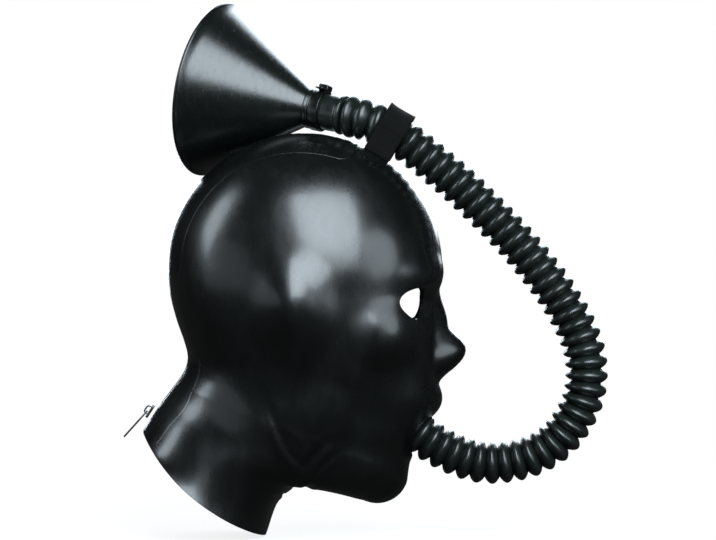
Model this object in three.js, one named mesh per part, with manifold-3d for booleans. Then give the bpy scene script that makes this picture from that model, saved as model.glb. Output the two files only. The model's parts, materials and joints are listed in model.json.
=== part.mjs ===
// Latex hood with a corrugated hose that leaves the mouth, rises over the forehead and ends in a funnel.
// Millimetres, +Z up. The face looks along -Y and the wearer's left side is at +X.
// The origin is the inside of the crown, where the hood bears on a head.
// Tables give "reach" as the distance in front of the origin, so y is minus the reach.

import * as THREE from "three";
import { mergeVertices } from "three/addons/utils/BufferGeometryUtils.js";
import Module from "manifold-3d";

const manifold = await Module();
manifold.setup();

// Head sizes that the hood is moulded to
const HEAD_LENGTH = 195;
const HEAD_BREADTH = 153;
const HEAD_HEIGHT = 262;
const NECK_BREADTH = 119;
const HEM_SIDE_DROP = 8.5;
const NECK_SLOPE = 60;

// Walls and clearances
const HOOD_WALL = 1.3;
const PANEL_WALL = 1.0;
const TAPE_WALL = 1.0;
const CLEARANCE = 0.3;
const JOIN_OVERLAP = 0.2;

// Centre panel and zip
const PANEL_HALF_WIDTH = 38;
const PANEL_FRONT_REACH = 39;
const PANEL_CORNER = 12;
const PANEL_FRONT_DROP = 52;
const ZIP_TOP_DROP = 33;
const ZIP_FRONT_REACH = 55;
const SLIT_HALF_WIDTH = 3;
const SLIT_TOP_ROOM = 1;
const TAPE_HALF_WIDTH = 8.5;
const CHAIN_HALF_WIDTH = 2.5;
const CHAIN_HEIGHT = 3.4;
const SLIDER_LENGTH = 11;
const SLIDER_WIDTH = 9.2;
const SLIDER_PLATE = 1.6;
const SLIDER_ABOVE_HEM = 14;
const SLIDER_LIP_WALL = 0.5;
const BRIDGE_WIDTH = 2.2;
const BRIDGE_LENGTH = 7.2;
const BRIDGE_HEIGHT = 3.6;
const BRIDGE_WALL = 1.2;
const PULL_LENGTH = 25;
const PULL_WIDTH = 6.6;
const PULL_THICKNESS = 1.2;
const PULL_WINDOW = 5.4;
const PULL_EASE = 0.5;
const PULL_SEAT_DROP = 1.2;
const PULL_LIFT = 9;

// Eye holes
const EYE_SPACING = 64;
const EYE_WIDTH = 34;
const EYE_HEIGHT = 22;
const EYE_DROP = 121;
const EYE_TURN = 14;

// Hose and the pieces at its ends
const HOSE_DIAMETER = 30.5;
const HOSE_BORE = 20;
const HOSE_SIDES = 12;
const HOSE_BORE_SIDES = 8;
const HOSE_STEPS = 40;
const CURVE_STEPS = 6;
const ROUND_STEPS = 24;
const FITTING_STEPS = 16;
const FUNNEL_STEPS = 32;
const SPIGOT_WALL = 1.8;
const SPIGOT_DEPTH = 12;
const MOUTH_TUBE_LENGTH = 30;
const SOCKET_WALL = 2;
const FLANGE_WALL = 2.4;
const FLANGE_WIDTH = 8;
const SOCKET_LENGTH = 36;
const MOUTH_HOLE_CLEARANCE = 0.6;
const CUFF_DIAMETER = 26.5;
const CUFF_LENGTH = 19;
const CUFF_LIP = { height: 1, length: 3, slope: 1.5 };

// Funnel and clamp
const FUNNEL_RIM_DIAMETER = 129;
const FUNNEL_LENGTH = 88;
const FUNNEL_WALL = 2;
const FUNNEL_FLARE = 0.98;
const NECK_DIAMETER = 27;
const NECK_LENGTH = 10.5;
const NECK_WALL = 2.5;
const NECK_RINGS = { first: 6.2, pitch: 2.8, height: 0.8, halfWidth: 1 };
const RIM_BEAD = 3.2;
const RIM_ROUND = 0.8;
const CLAMP_OVERHANG = 2.5;
const CLAMP_WIDTH = 7;
const CLAMP_WALL = 1.3;
const CLAMP_HOUSING = { width: 9, height: 5, length: 8, sink: 0.6 };

// Band over the hose and the tab under it
const STRAP_WIDTH = 20;
const STRAP_WALL = 1.2;
const STRAP_EASE = 0.7;
const TAB_LENGTH = 60;
const TAB_WIDTH = 19;
const TAB_WALL = 1.0;

// The hose's centre line from the mouth to its cuff.
// Side, reach and drop are shares of half the breadth, half the length and the height of the head.
const HOSE_ROUTE = [
  { side: 0, reach: 0.7385, drop: 0.7908 },
  { side: 0, reach: 0.9231, drop: 0.8405 },
  { side: -0.013, reach: 1.1149, drop: 0.8785 },
  { side: -0.026, reach: 1.3067, drop: 0.8985 },
  { side: -0.046, reach: 1.4995, drop: 0.8958 },
  { side: -0.065, reach: 1.6841, drop: 0.8767 },
  { side: -0.078, reach: 1.8462, drop: 0.8397 },
  { side: -0.092, reach: 1.9641, drop: 0.7859 },
  { side: -0.105, reach: 2.0451, drop: 0.7229 },
  { side: -0.111, reach: 2.0718, drop: 0.6527 },
  { side: -0.111, reach: 2.041, drop: 0.5725 },
  { side: -0.105, reach: 1.8903, drop: 0.4561 },
  { side: -0.092, reach: 1.5885, drop: 0.3075 },
  { side: -0.076, reach: 1.2482, drop: 0.1765 },
  { side: -0.065, reach: 1.0154, drop: 0.098 },
  { side: -0.061, reach: 0.6359, drop: -0.0103 },
  { side: -0.055, reach: 0.4513, drop: -0.0405 },
  { side: 0.024, reach: 0.3026, drop: -0.0535 },
];
const STRAP_STATION = 15;

// Sections of the hood below the widest level of the skull, top to bottom.
// Fore and aft are the reaches at the front and the back, as shares of half the head length.
// Their drops are shares of the head height.
// Wide is a share of half the head breadth, or of half the neck breadth from the chin down.
// Full is how much the front quarters stand out beyond an ellipse, and rear how much the back ones do.
const SKULL_DROP = 0.363;
const SKULL_FULL = { full: 0.02, rear: 0.08 };
const SKULL_STEPS = 6;
const HEAD_SECTIONS = {
  brow: { fore: 1, foreDrop: 0.363, aft: 0.995, aftDrop: 0.363, wide: 1, full: 0.02, rear: 0.08 },
  eyes: { fore: 0.965, foreDrop: 0.45, aft: 0.98, aftDrop: 0.435, wide: 0.995, full: 0.02, rear: 0.07 },
  cheek: { fore: 0.95, foreDrop: 0.542, aft: 0.934, aftDrop: 0.504, wide: 0.965, full: 0.04, rear: 0.05 },
  nose: { fore: 0.958, foreDrop: 0.641, aft: 0.877, aftDrop: 0.565, wide: 0.905, full: 0.03, rear: 0.05 },
  lip: { fore: 0.96, foreDrop: 0.735, aft: 0.851, aftDrop: 0.607, wide: 0.84, full: 0, rear: 0.05 },
  mouth: { fore: 0.842, foreDrop: 0.814, aft: 0.867, aftDrop: 0.641, wide: 0.785, full: -0.02, rear: 0.05 },
  jaw: { fore: 0.727, foreDrop: 0.889, aft: 0.908, aftDrop: 0.668, wide: 0.75, full: -0.03, rear: 0.05 },
};
const NECK_SECTIONS = {
  chin: { fore: 0.682, foreDrop: 0.95, aft: 0.954, aftDrop: 0.691, wide: 0.955, full: -0.04, rear: 0.05 },
  under: { fore: 0.513, foreDrop: 0.998, aft: 0.995, aftDrop: 0.712, wide: 0.945, full: -0.04, rear: 0.05 },
  floor: { fore: 0.236, foreDrop: 0.975, aft: 1.031, aftDrop: 0.729, wide: 0.945, full: 0, rear: 0.05 },
  throat: { fore: -0.02, foreDrop: 0.955, aft: 1.067, aftDrop: 0.748, wide: 0.95, full: 0.02, rear: 0.05 },
  collar: { fore: -0.2, foreDrop: 1, aft: 1.118, aftDrop: 0.777, wide: 0.975, full: 0.02, rear: 0.02 },
  hem: { fore: -0.3, foreDrop: 1.095, aft: 1.18, aftDrop: 0.813, wide: 1, full: 0.02, rear: 0.02 },
};
const SIDE_DROP_SHARES = { chin: 0.14, under: 0.5, floor: 0.95, throat: 1.25, collar: 1.25, hem: 1 };
const HEM_OVERRUN = 0.6;
const WIDEST = 0.46;
const AROUND = 32;
const FACE_CROWDING = 0.42;
const RINGS_PER_FACE_SECTION = 2;

// Half outlines of the slider, tail to nose from its middle, and of the pull, from its bar to its end
const SLIDER_OUTLINE = [
  { side: 0.72, along: -0.5 },
  { side: 0.82, along: 0 },
  { side: 0.94, along: 0.16 },
  { side: 1, along: 0.32 },
  { side: 0.93, along: 0.43 },
  { side: 0.7, along: 0.49 },
  { side: 0.4, along: 0.5 },
];
const PULL_OUTLINE = [
  { side: 0.8, along: -0.024 },
  { side: 1, along: 0.3 },
  { side: 0.72, along: 0.87 },
  { side: 0.62, along: 0.93 },
  { side: 0.36, along: 0.985 },
  { side: 0.1, along: 1 },
];

// Raised and sunk places of the moulded face, mirrored left and right where the side isn't zero.
// Side, reach and drop place them as shares of half the breadth, half the length and the height.
// Wide, deep and tall are the radii in the same shares, and rise is in millimetres.
const FEATURES = {
  nose_bridge: { side: 0, reach: 1.0, drop: 0.53, wide: 0.21, deep: 0.5, tall: 0.12, rise: 9 },
  nose_tip: { side: 0, reach: 1.0, drop: 0.605, wide: 0.27, deep: 0.5, tall: 0.085, rise: 18 },
  brow_ridge: { side: 0.38, reach: 0.93, drop: 0.385, wide: 0.5, deep: 0.4, tall: 0.07, rise: 3.5 },
  eye_hollow: { side: 0.42, reach: 0.9, drop: 0.465, wide: 0.3, deep: 0.4, tall: 0.075, rise: -7 },
  cheekbone: { side: 0.72, reach: 0.68, drop: 0.545, wide: 0.45, deep: 0.45, tall: 0.11, rise: 5 },
  cheek_hollow: { side: 0.62, reach: 0.6, drop: 0.7, wide: 0.45, deep: 0.45, tall: 0.14, rise: -4.5 },
  upper_lip: { side: 0, reach: 0.96, drop: 0.728, wide: 0.4, deep: 0.4, tall: 0.06, rise: 3.5 },
  lower_lip: { side: 0, reach: 0.75, drop: 0.885, wide: 0.38, deep: 0.3, tall: 0.055, rise: 4 },
  chin: { side: 0, reach: 0.66, drop: 0.965, wide: 0.34, deep: 0.3, tall: 0.085, rise: 6 },
  jaw_corner: { side: 0.76, reach: 0.08, drop: 0.77, wide: 0.4, deep: 0.4, tall: 0.12, rise: 4 },
  ear: { side: 1.0, reach: -0.06, drop: 0.485, wide: 0.5, deep: 0.36, tall: 0.18, rise: 6 },
  ear_rim: { side: 1.0, reach: -0.14, drop: 0.45, wide: 0.5, deep: 0.24, tall: 0.13, rise: 3 },
};

const FINISH = {
  latex: { color: 0x0b0d0c, roughness: 0.12, metalness: 0 },
  rubber: { color: 0x1c211e, roughness: 0.42, metalness: 0 },
  webbing: { color: 0x101110, roughness: 0.85, metalness: 0 },
  tape: { color: 0x141414, roughness: 0.8, metalness: 0 },
  steel: { color: 0xb9bbb8, roughness: 0.28, metalness: 1 },
};

const halfLength = HEAD_LENGTH / 2;
const halfBreadth = HEAD_BREADTH / 2;
const halfNeck = NECK_BREADTH / 2;
const neckSlope = THREE.MathUtils.degToRad(NECK_SLOPE);
const hoseRadius = HOSE_DIAMETER / 2;
const hoodOutside = HOOD_WALL;
const panelUnder = hoodOutside + CLEARANCE;
const panelTop = panelUnder + PANEL_WALL;
const tapeTop = panelUnder + TAPE_WALL;
const tabTop = panelUnder + TAB_WALL;
const strapUnder = tabTop + CLEARANCE;
const zipTop = -ZIP_TOP_DROP;
const farBelow = -2 * HEAD_HEIGHT;
const wearerLeft = new THREE.Vector3(1, 0, 0);

const wearerPoint = (side, reach, height) => new THREE.Vector3(side, -reach, height);

// Sizes of one section in millimetres
function sectionSizes(row, halfWidth, sideDrop) {
  return {
    foreReach: row.fore * halfLength,
    foreHeight: -row.foreDrop * HEAD_HEIGHT,
    aftReach: -row.aft * halfLength,
    aftHeight: -row.aftDrop * HEAD_HEIGHT,
    width: row.wide * halfWidth,
    full: row.full,
    rear: row.rear,
    sideDrop,
  };
}

// The skull cap is half an ellipsoid, in sections at equal angles from the crown
function skullSection(step) {
  const angle = (step / SKULL_STEPS) * (Math.PI / 2);
  const reach = Math.sin(angle);
  const drop = SKULL_DROP * (1 - Math.cos(angle));
  const row = { fore: reach, foreDrop: drop, aft: reach, aftDrop: drop, wide: reach, ...SKULL_FULL };
  return sectionSizes(row, halfBreadth, 0);
}

// One section above the crown and one below the hem carry the curves on past both ends
function hoodSections() {
  const rows = [];
  for (let step = -1; step < SKULL_STEPS; step += 1) rows.push(skullSection(step));
  for (const row of Object.values(HEAD_SECTIONS)) rows.push(sectionSizes(row, halfBreadth, 0));
  for (const [name, row] of Object.entries(NECK_SECTIONS)) {
    rows.push(sectionSizes(row, halfNeck, HEM_SIDE_DROP * SIDE_DROP_SHARES[name]));
  }
  const [collar, hem] = rows.slice(-2);
  const below = {};
  for (const key of Object.keys(hem)) below[key] = 2 * hem[key] - collar[key];
  rows.push(below);
  return rows;
}

const sections = hoodSections();
const hemStation = sections.length - 3;

// Smooth curve through four neighbouring values
function blend(before, start, end, after, share) {
  const linear = end - before;
  const square = 2 * before - 5 * start + 4 * end - after;
  const cube = 3 * start - before - 3 * end + after;
  return start + 0.5 * share * (linear + share * (square + share * cube));
}

function sectionAt(station) {
  const index = Math.min(Math.max(Math.floor(station), 0), sections.length - 4);
  const share = station - index;
  const [before, start, end, after] = sections.slice(index, index + 4);
  if (index === sections.length - 4 && share > 1) {
    const last = {};
    for (const key of Object.keys(end)) last[key] = end[key] + (after[key] - end[key]) * (share - 1);
    return last;
  }
  const size = {};
  for (const key of Object.keys(start)) {
    size[key] = blend(before[key], start[key], end[key], after[key], share);
  }
  return size;
}

// A point of the plain head form: angle 0 is the front, a quarter turn is the wearer's left
function formPoint(angle, station) {
  const size = sectionAt(station);
  const sideways = Math.sin(angle);
  const ahead = Math.cos(angle);
  const middleReach = size.aftReach + WIDEST * (size.foreReach - size.aftReach);
  const middleHeight = size.aftHeight + WIDEST * (size.foreHeight - size.aftHeight);
  const endReach = ahead > 0 ? size.foreReach : size.aftReach;
  const endHeight = ahead > 0 ? size.foreHeight : size.aftHeight;
  const length = Math.abs(ahead);
  const full = ahead > 0 ? size.full : size.rear;
  const drop = size.sideDrop * sideways * sideways;
  return wearerPoint(
    size.width * sideways * (1 + full * length * length),
    middleReach + (endReach - middleReach) * length - drop * Math.cos(neckSlope),
    middleHeight + (endHeight - middleHeight) * length - drop * Math.sin(neckSlope),
  );
}

// Outward direction of any surface function by small steps
function outward(surface, angle, station) {
  const step = 1e-3;
  const around = surface(angle + step, station).sub(surface(angle - step, station));
  const down = surface(angle, station + step).sub(surface(angle, station - step));
  return down.cross(around).normalize();
}

function featureRise(point) {
  const side = Math.abs(point.x) / halfBreadth;
  const reach = -point.y / halfLength;
  const drop = -point.z / HEAD_HEIGHT;
  let rise = 0;
  for (const place of Object.values(FEATURES)) {
    const sideways = (side - place.side) / place.wide;
    const ahead = (reach - place.reach) / place.deep;
    const down = (drop - place.drop) / place.tall;
    const apart = sideways * sideways + ahead * ahead + down * down;
    if (apart < 1) rise += place.rise * (1 - apart) ** 2;
  }
  return rise;
}

function facePoint(angle, station) {
  const point = formPoint(angle, station);
  const rise = featureRise(point);
  if (rise === 0) return point;
  return point.addScaledVector(outward(formPoint, angle, station), rise);
}

function hoodPoint(angle, station, offset) {
  return facePoint(angle, station).addScaledVector(outward(facePoint, angle, station), offset);
}

// Angles around a section, closer together at the face
const ringAngles = Array.from({ length: AROUND }, (unused, index) => {
  const even = (2 * Math.PI * index) / AROUND;
  return even - FACE_CROWDING * Math.sin(even);
});

// Stations of the rings: one a section, and more of them over the face
const faceStations = Object.keys(HEAD_SECTIONS).length;
const ringStations = [
  ...Array.from({ length: SKULL_STEPS }, (unused, index) => index + 1),
  ...Array.from(
    { length: faceStations * RINGS_PER_FACE_SECTION },
    (unused, index) => SKULL_STEPS + (index + 1) / RINGS_PER_FACE_SECTION,
  ),
  ...Array.from(
    { length: Object.keys(NECK_SECTIONS).length - 1 },
    (unused, index) => SKULL_STEPS + faceStations + index + 1,
  ),
];

function geometryFrom(points, faces) {
  const geometry = new THREE.BufferGeometry();
  const values = points.flatMap((point) => [point.x, point.y, point.z]);
  geometry.setAttribute("position", new THREE.Float32BufferAttribute(values, 3));
  geometry.setIndex(faces.flat());
  return geometry;
}

// Closed surface of the head form, moved outwards by the offset and cut off past the hem by the overrun
function headForm(offset, overrun = 0) {
  const stations = overrun > 0 ? [...ringStations, hemStation + overrun] : ringStations;
  const points = [new THREE.Vector3(0, 0, offset)];
  const faces = [];
  for (const station of stations) {
    for (const angle of ringAngles) points.push(hoodPoint(angle, station, offset));
  }
  const lastRing = 1 + (stations.length - 1) * AROUND;
  const middle = new THREE.Vector3();
  for (let index = 0; index < AROUND; index += 1) {
    middle.addScaledVector(points[lastRing + index], 1 / AROUND);
  }
  points.push(middle);
  for (let index = 0; index < AROUND; index += 1) {
    const next = (index + 1) % AROUND;
    faces.push([0, 1 + index, 1 + next]);
    faces.push([points.length - 1, lastRing + next, lastRing + index]);
    for (let ring = 0; ring < stations.length - 1; ring += 1) {
      const upper = 1 + ring * AROUND;
      const lower = upper + AROUND;
      if (index < AROUND / 2) {
        faces.push([upper + index, lower + index, lower + next]);
        faces.push([upper + index, lower + next, upper + next]);
      } else {
        faces.push([upper + index, lower + index, upper + next]);
        faces.push([upper + next, lower + index, lower + next]);
      }
    }
  }
  return solidFrom(geometryFrom(points, faces));
}

function solidFrom(geometry) {
  const bare = geometry.index ? geometry : geometry.clone();
  bare.deleteAttribute("normal");
  bare.deleteAttribute("uv");
  const merged = mergeVertices(bare, 1e-3);
  const mesh = new manifold.Mesh({
    numProp: 3,
    vertProperties: new Float32Array(merged.attributes.position.array),
    triVerts: new Uint32Array(merged.index.array),
  });
  mesh.merge();
  return new manifold.Manifold(mesh);
}

function geometryOf(solid) {
  const mesh = solid.getMesh();
  const geometry = new THREE.BufferGeometry();
  geometry.setAttribute("position", new THREE.BufferAttribute(new Float32Array(mesh.vertProperties), 3));
  geometry.setIndex(new THREE.BufferAttribute(new Uint32Array(mesh.triVerts), 1));
  geometry.computeVertexNormals();
  return geometry;
}

function boxBetween(low, high) {
  const size = new THREE.Vector3().subVectors(high, low);
  const middle = new THREE.Vector3().addVectors(low, high).multiplyScalar(0.5);
  const geometry = new THREE.BoxGeometry(size.x, size.y, size.z);
  geometry.translate(middle.x, middle.y, middle.z);
  return solidFrom(geometry);
}

function extrude(shape, depth) {
  return new THREE.ExtrudeGeometry(shape, { depth, bevelEnabled: false, curveSegments: CURVE_STEPS });
}

function latheSolid(profile, segments) {
  const outline = [...profile, profile[0]].map(([radius, height]) => new THREE.Vector2(radius, height));
  return solidFrom(new THREE.LatheGeometry(outline, segments));
}

// A frame whose local Y runs along the given direction and whose local X stays nearest to the given side
function frameAlong(origin, direction, side) {
  const up = direction.clone().normalize();
  const depth = new THREE.Vector3().crossVectors(side, up).normalize();
  const across = new THREE.Vector3().crossVectors(up, depth);
  return new THREE.Matrix4().makeBasis(across, up, depth).setPosition(origin);
}

function movedSolid(solid, frame) {
  return solid.transform(frame.toArray());
}

const route = new THREE.CatmullRomCurve3(
  HOSE_ROUTE.map(({ side, reach, drop }) => (
    wearerPoint(side * halfBreadth, reach * halfLength, -drop * HEAD_HEIGHT)
  )),
  false,
  "centripetal",
);
const hoseStart = route.getPoint(0);
const mouthDirection = route.getTangent(0);
const hoseEnd = route.getPoint(1);
const funnelDirection = route.getTangent(1);
const strapStationShare = STRAP_STATION / (HOSE_ROUTE.length - 1);

const innerForm = headForm(0, HEM_OVERRUN);
const zipSide = (halfWidth, clearTop) => boxBetween(
  new THREE.Vector3(-halfWidth, ZIP_FRONT_REACH, farBelow),
  new THREE.Vector3(halfWidth, 2 * HEAD_LENGTH, zipTop + clearTop),
);

function eyeHole(side) {
  const outline = new THREE.Shape();
  outline.absellipse(0, 0, EYE_WIDTH / 2, EYE_HEIGHT / 2, 0, 2 * Math.PI, false, 0);
  const geometry = extrude(outline, halfLength);
  geometry.rotateX(Math.PI / 2);
  geometry.rotateZ(side * THREE.MathUtils.degToRad(EYE_TURN));
  geometry.translate((side * EYE_SPACING) / 2, -halfLength / 2, -EYE_DROP);
  return solidFrom(geometry);
}

function hoodShell() {
  const holeRadius = hoseRadius + MOUTH_HOLE_CLEARANCE;
  const mouthHole = new THREE.CylinderGeometry(holeRadius, holeRadius, 2 * SOCKET_LENGTH, ROUND_STEPS);
  const mouthFrame = frameAlong(hoseStart, mouthDirection, wearerLeft);
  return headForm(hoodOutside)
    .subtract(innerForm)
    .subtract(eyeHole(1))
    .subtract(eyeHole(-1))
    .subtract(movedSolid(solidFrom(mouthHole), mouthFrame))
    .subtract(zipSide(SLIT_HALF_WIDTH, SLIT_TOP_ROOM));
}

// Centre panel over the crown, with a slot that leaves a leg on each side of the zip
function crownStrip() {
  const plan = new THREE.Shape();
  const cornerSide = PANEL_HALF_WIDTH - PANEL_CORNER;
  const cornerReach = PANEL_FRONT_REACH - PANEL_CORNER;
  plan.moveTo(-PANEL_HALF_WIDTH, -2 * HEAD_LENGTH);
  plan.lineTo(PANEL_HALF_WIDTH, -2 * HEAD_LENGTH);
  plan.absarc(cornerSide, cornerReach, PANEL_CORNER, 0, Math.PI / 2, false);
  plan.absarc(-cornerSide, cornerReach, PANEL_CORNER, Math.PI / 2, Math.PI, false);
  const column = extrude(plan, -2 * farBelow);
  column.rotateX(Math.PI);
  column.translate(0, 0, -farBelow);
  const face = boxBetween(
    new THREE.Vector3(-HEAD_BREADTH, -2 * HEAD_LENGTH, 2 * farBelow),
    new THREE.Vector3(HEAD_BREADTH, ZIP_FRONT_REACH, -PANEL_FRONT_DROP),
  );
  return headForm(panelTop)
    .subtract(headForm(panelUnder, HEM_OVERRUN))
    .intersect(solidFrom(column))
    .subtract(face)
    .subtract(zipSide(TAPE_HALF_WIDTH + CLEARANCE, CLEARANCE));
}

function zipTape(side) {
  const inner = CHAIN_HALF_WIDTH + CLEARANCE;
  const band = boxBetween(
    new THREE.Vector3(Math.min(side * inner, side * TAPE_HALF_WIDTH), ZIP_FRONT_REACH, farBelow),
    new THREE.Vector3(Math.max(side * inner, side * TAPE_HALF_WIDTH), 2 * HEAD_LENGTH, zipTop),
  );
  return headForm(tapeTop).subtract(headForm(panelUnder, HEM_OVERRUN)).intersect(band);
}

function zipTeeth() {
  return headForm(CHAIN_HEIGHT)
    .subtract(headForm(CLEARANCE, HEM_OVERRUN))
    .intersect(zipSide(CHAIN_HALF_WIDTH, 0));
}

// Frame on the zip: local Y runs up along the chain and local Z points away from the neck
function zipFrame() {
  const hem = hoodPoint(Math.PI, hemStation, CHAIN_HEIGHT);
  const step = 0.01;
  let station = hemStation;
  while (hoodPoint(Math.PI, station, CHAIN_HEIGHT).distanceTo(hem) < SLIDER_ABOVE_HEM) station -= step;
  const origin = hoodPoint(Math.PI, station, CHAIN_HEIGHT + CLEARANCE);
  const above = hoodPoint(Math.PI, station - step, CHAIN_HEIGHT);
  const below = hoodPoint(Math.PI, station + step, CHAIN_HEIGHT);
  const up = above.sub(below).normalize();
  return frameAlong(origin, up, wearerLeft.clone().negate());
}

const boxAt = (width, length, height, middle) => {
  const geometry = new THREE.BoxGeometry(width, length, height);
  geometry.translate(middle[0], middle[1], middle[2]);
  return solidFrom(geometry);
};

// Closed outline from a half outline whose rows are shares of the half width and of the length
function outlineFrom(rows, halfWidth, length, shape) {
  const right = rows.map((row) => new THREE.Vector2(row.side * halfWidth, row.along * length));
  const left = right.map((point) => new THREE.Vector2(-point.x, point.y)).reverse();
  shape.setFromPoints([...right, ...left]);
  return shape;
}

// Slider: a rounded plate over the chain, a lip down each side and a bridge for the pull
function zipSlider() {
  const plan = outlineFrom(SLIDER_OUTLINE, SLIDER_WIDTH / 2, SLIDER_LENGTH, new THREE.Shape());
  const lipDepth = CHAIN_HEIGHT - tapeTop;
  const lipMiddle = CHAIN_HALF_WIDTH + CLEARANCE + SLIDER_LIP_WALL / 2;
  const lips = [-1, 1].map((side) => boxAt(
    SLIDER_LIP_WALL,
    SLIDER_LENGTH,
    lipDepth + JOIN_OVERLAP,
    [side * lipMiddle, 0, (JOIN_OVERLAP - lipDepth) / 2],
  ));
  const bridge = boxAt(
    BRIDGE_WIDTH,
    BRIDGE_LENGTH,
    BRIDGE_HEIGHT + JOIN_OVERLAP,
    [0, 0, SLIDER_PLATE + (BRIDGE_HEIGHT - JOIN_OVERLAP) / 2],
  );
  const window = boxAt(
    2 * BRIDGE_WIDTH,
    BRIDGE_LENGTH - 2 * BRIDGE_WALL,
    BRIDGE_HEIGHT - BRIDGE_WALL,
    [0, 0, SLIDER_PLATE + (BRIDGE_HEIGHT - BRIDGE_WALL) / 2],
  );
  return solidFrom(extrude(plan, SLIDER_PLATE)).add(bridge.subtract(window)).add(lips[0]).add(lips[1]);
}

// Pull: a flat tab with a window, hung by its cross bar in the slider's bridge; the bar lies on the local X
function zipPull() {
  const plan = outlineFrom(PULL_OUTLINE, PULL_WIDTH / 2, -PULL_LENGTH, new THREE.Shape());
  const gap = BRIDGE_WIDTH / 2 + PULL_EASE;
  const window = [{ side: 1, along: PULL_WINDOW }, { side: 1, along: PULL_THICKNESS / 2 }];
  plan.holes.push(outlineFrom(window, gap, -1, new THREE.Path()));
  return solidFrom(extrude(plan, PULL_THICKNESS)).translate([0, 0, -PULL_THICKNESS / 2]);
}

// Hidden socket that holds the hose in the mouth hole, with a dished flange and a mouth tube
function mouthFitting() {
  const spigotRadius = (HOSE_BORE / 2) * Math.cos(Math.PI / HOSE_BORE_SIDES) - CLEARANCE;
  const boreRadius = spigotRadius - SPIGOT_WALL;
  const socketInner = hoseRadius + MOUTH_HOLE_CLEARANCE;
  const socketOuter = socketInner + SOCKET_WALL;
  const floorTop = -CLEARANCE;
  const floorUnder = floorTop - SOCKET_WALL;
  const frame = frameAlong(hoseStart, mouthDirection, wearerLeft);
  const socket = latheSolid([
    [boreRadius, -MOUTH_TUBE_LENGTH],
    [spigotRadius, -MOUTH_TUBE_LENGTH],
    [spigotRadius, floorUnder],
    [socketOuter, floorUnder],
    [socketOuter, SOCKET_LENGTH],
    [socketInner, SOCKET_LENGTH],
    [socketInner, floorTop],
    [spigotRadius, floorTop],
    [spigotRadius, SPIGOT_DEPTH],
    [boreRadius, SPIGOT_DEPTH],
  ], FITTING_STEPS);
  const disc = latheSolid([
    [socketInner, -SPIGOT_DEPTH],
    [socketOuter + FLANGE_WIDTH, -SPIGOT_DEPTH],
    [socketOuter + FLANGE_WIDTH, SOCKET_LENGTH],
    [socketInner, SOCKET_LENGTH],
  ], FITTING_STEPS);
  const flange = movedSolid(disc, frame).subtract(headForm(-CLEARANCE - FLANGE_WALL));
  const spigot = latheSolid([
    [boreRadius, 0],
    [spigotRadius, 0],
    [spigotRadius, SPIGOT_DEPTH],
    [boreRadius, SPIGOT_DEPTH],
  ], FITTING_STEPS);
  return movedSolid(socket, frame)
    .add(flange)
    .intersect(headForm(-CLEARANCE))
    .add(movedSolid(spigot, frame));
}

function hoseTube() {
  const ring = (radius, sides, Kind) => {
    const outline = new Kind();
    for (let index = 0; index < sides; index += 1) {
      const angle = (2 * Math.PI * index) / sides;
      const action = index === 0 ? "moveTo" : "lineTo";
      outline[action](radius * Math.cos(angle), radius * Math.sin(angle));
    }
    outline.closePath();
    return outline;
  };
  const wall = ring(hoseRadius, HOSE_SIDES, THREE.Shape);
  wall.holes.push(ring(HOSE_BORE / 2, HOSE_BORE_SIDES, THREE.Path));
  const settings = { steps: HOSE_STEPS, extrudePath: route, bevelEnabled: false };
  return solidFrom(new THREE.ExtrudeGeometry(wall, settings));
}

// The pieces at the funnel end share one axis; heights along it are measured from the end of the hose
const cuffStart = CLEARANCE;
const neckStart = cuffStart + CUFF_LENGTH + CLEARANCE;

function hoseCuff() {
  const radius = CUFF_DIAMETER / 2;
  const bore = HOSE_BORE / 2;
  return latheSolid([
    [bore, 0],
    [radius + CUFF_LIP.height, 0],
    [radius + CUFF_LIP.height, CUFF_LIP.length],
    [radius, CUFF_LIP.length + CUFF_LIP.slope],
    [radius, CUFF_LENGTH],
    [bore, CUFF_LENGTH],
  ], ROUND_STEPS);
}

// Two low rings stand round the neck, and the cone swells a little less than a straight one half way
function funnelBody() {
  const neck = NECK_DIAMETER / 2;
  const bore = neck - NECK_WALL;
  const rim = FUNNEL_RIM_DIAMETER / 2;
  const middle = (NECK_LENGTH + FUNNEL_LENGTH) / 2;
  const middleRadius = neck + ((rim - neck) / 2) * FUNNEL_FLARE;
  const { first, pitch, height, halfWidth } = NECK_RINGS;
  const rings = [first, first + pitch].flatMap((station) => [
    [neck, station - halfWidth],
    [neck + height, station],
    [neck, station + halfWidth],
  ]);
  return latheSolid([
    [bore, 0],
    [neck, 0],
    ...rings,
    [neck, NECK_LENGTH],
    [middleRadius, middle],
    [rim - RIM_BEAD + FUNNEL_WALL, FUNNEL_LENGTH - RIM_BEAD],
    [rim, FUNNEL_LENGTH - RIM_BEAD / 2],
    [rim - RIM_ROUND, FUNNEL_LENGTH],
    [rim - RIM_BEAD, FUNNEL_LENGTH],
    [middleRadius - FUNNEL_WALL, middle],
    [bore, NECK_LENGTH + FUNNEL_WALL],
  ], FUNNEL_STEPS);
}

function funnelClamp() {
  const inner = NECK_DIAMETER / 2 + CLEARANCE;
  const outer = inner + CLAMP_WALL;
  const band = latheSolid([
    [inner, 0],
    [outer, 0],
    [outer, CLAMP_WIDTH],
    [inner, CLAMP_WIDTH],
  ], ROUND_STEPS);
  const housing = boxAt(
    CLAMP_HOUSING.width,
    CLAMP_HOUSING.length,
    CLAMP_HOUSING.height,
    [0, CLAMP_WIDTH / 2, outer + CLAMP_HOUSING.height / 2 - CLAMP_HOUSING.sink],
  );
  return band.add(housing);
}

// Frame on the band: local Z runs along the hose and local Y away from the hood
function strapFrame() {
  const along = route.getTangent(strapStationShare);
  const away = new THREE.Vector3().crossVectors(wearerLeft, along).normalize();
  const level = new THREE.Vector3().crossVectors(away, along);
  return new THREE.Matrix4().makeBasis(level, away, along).setPosition(route.getPoint(strapStationShare));
}

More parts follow.
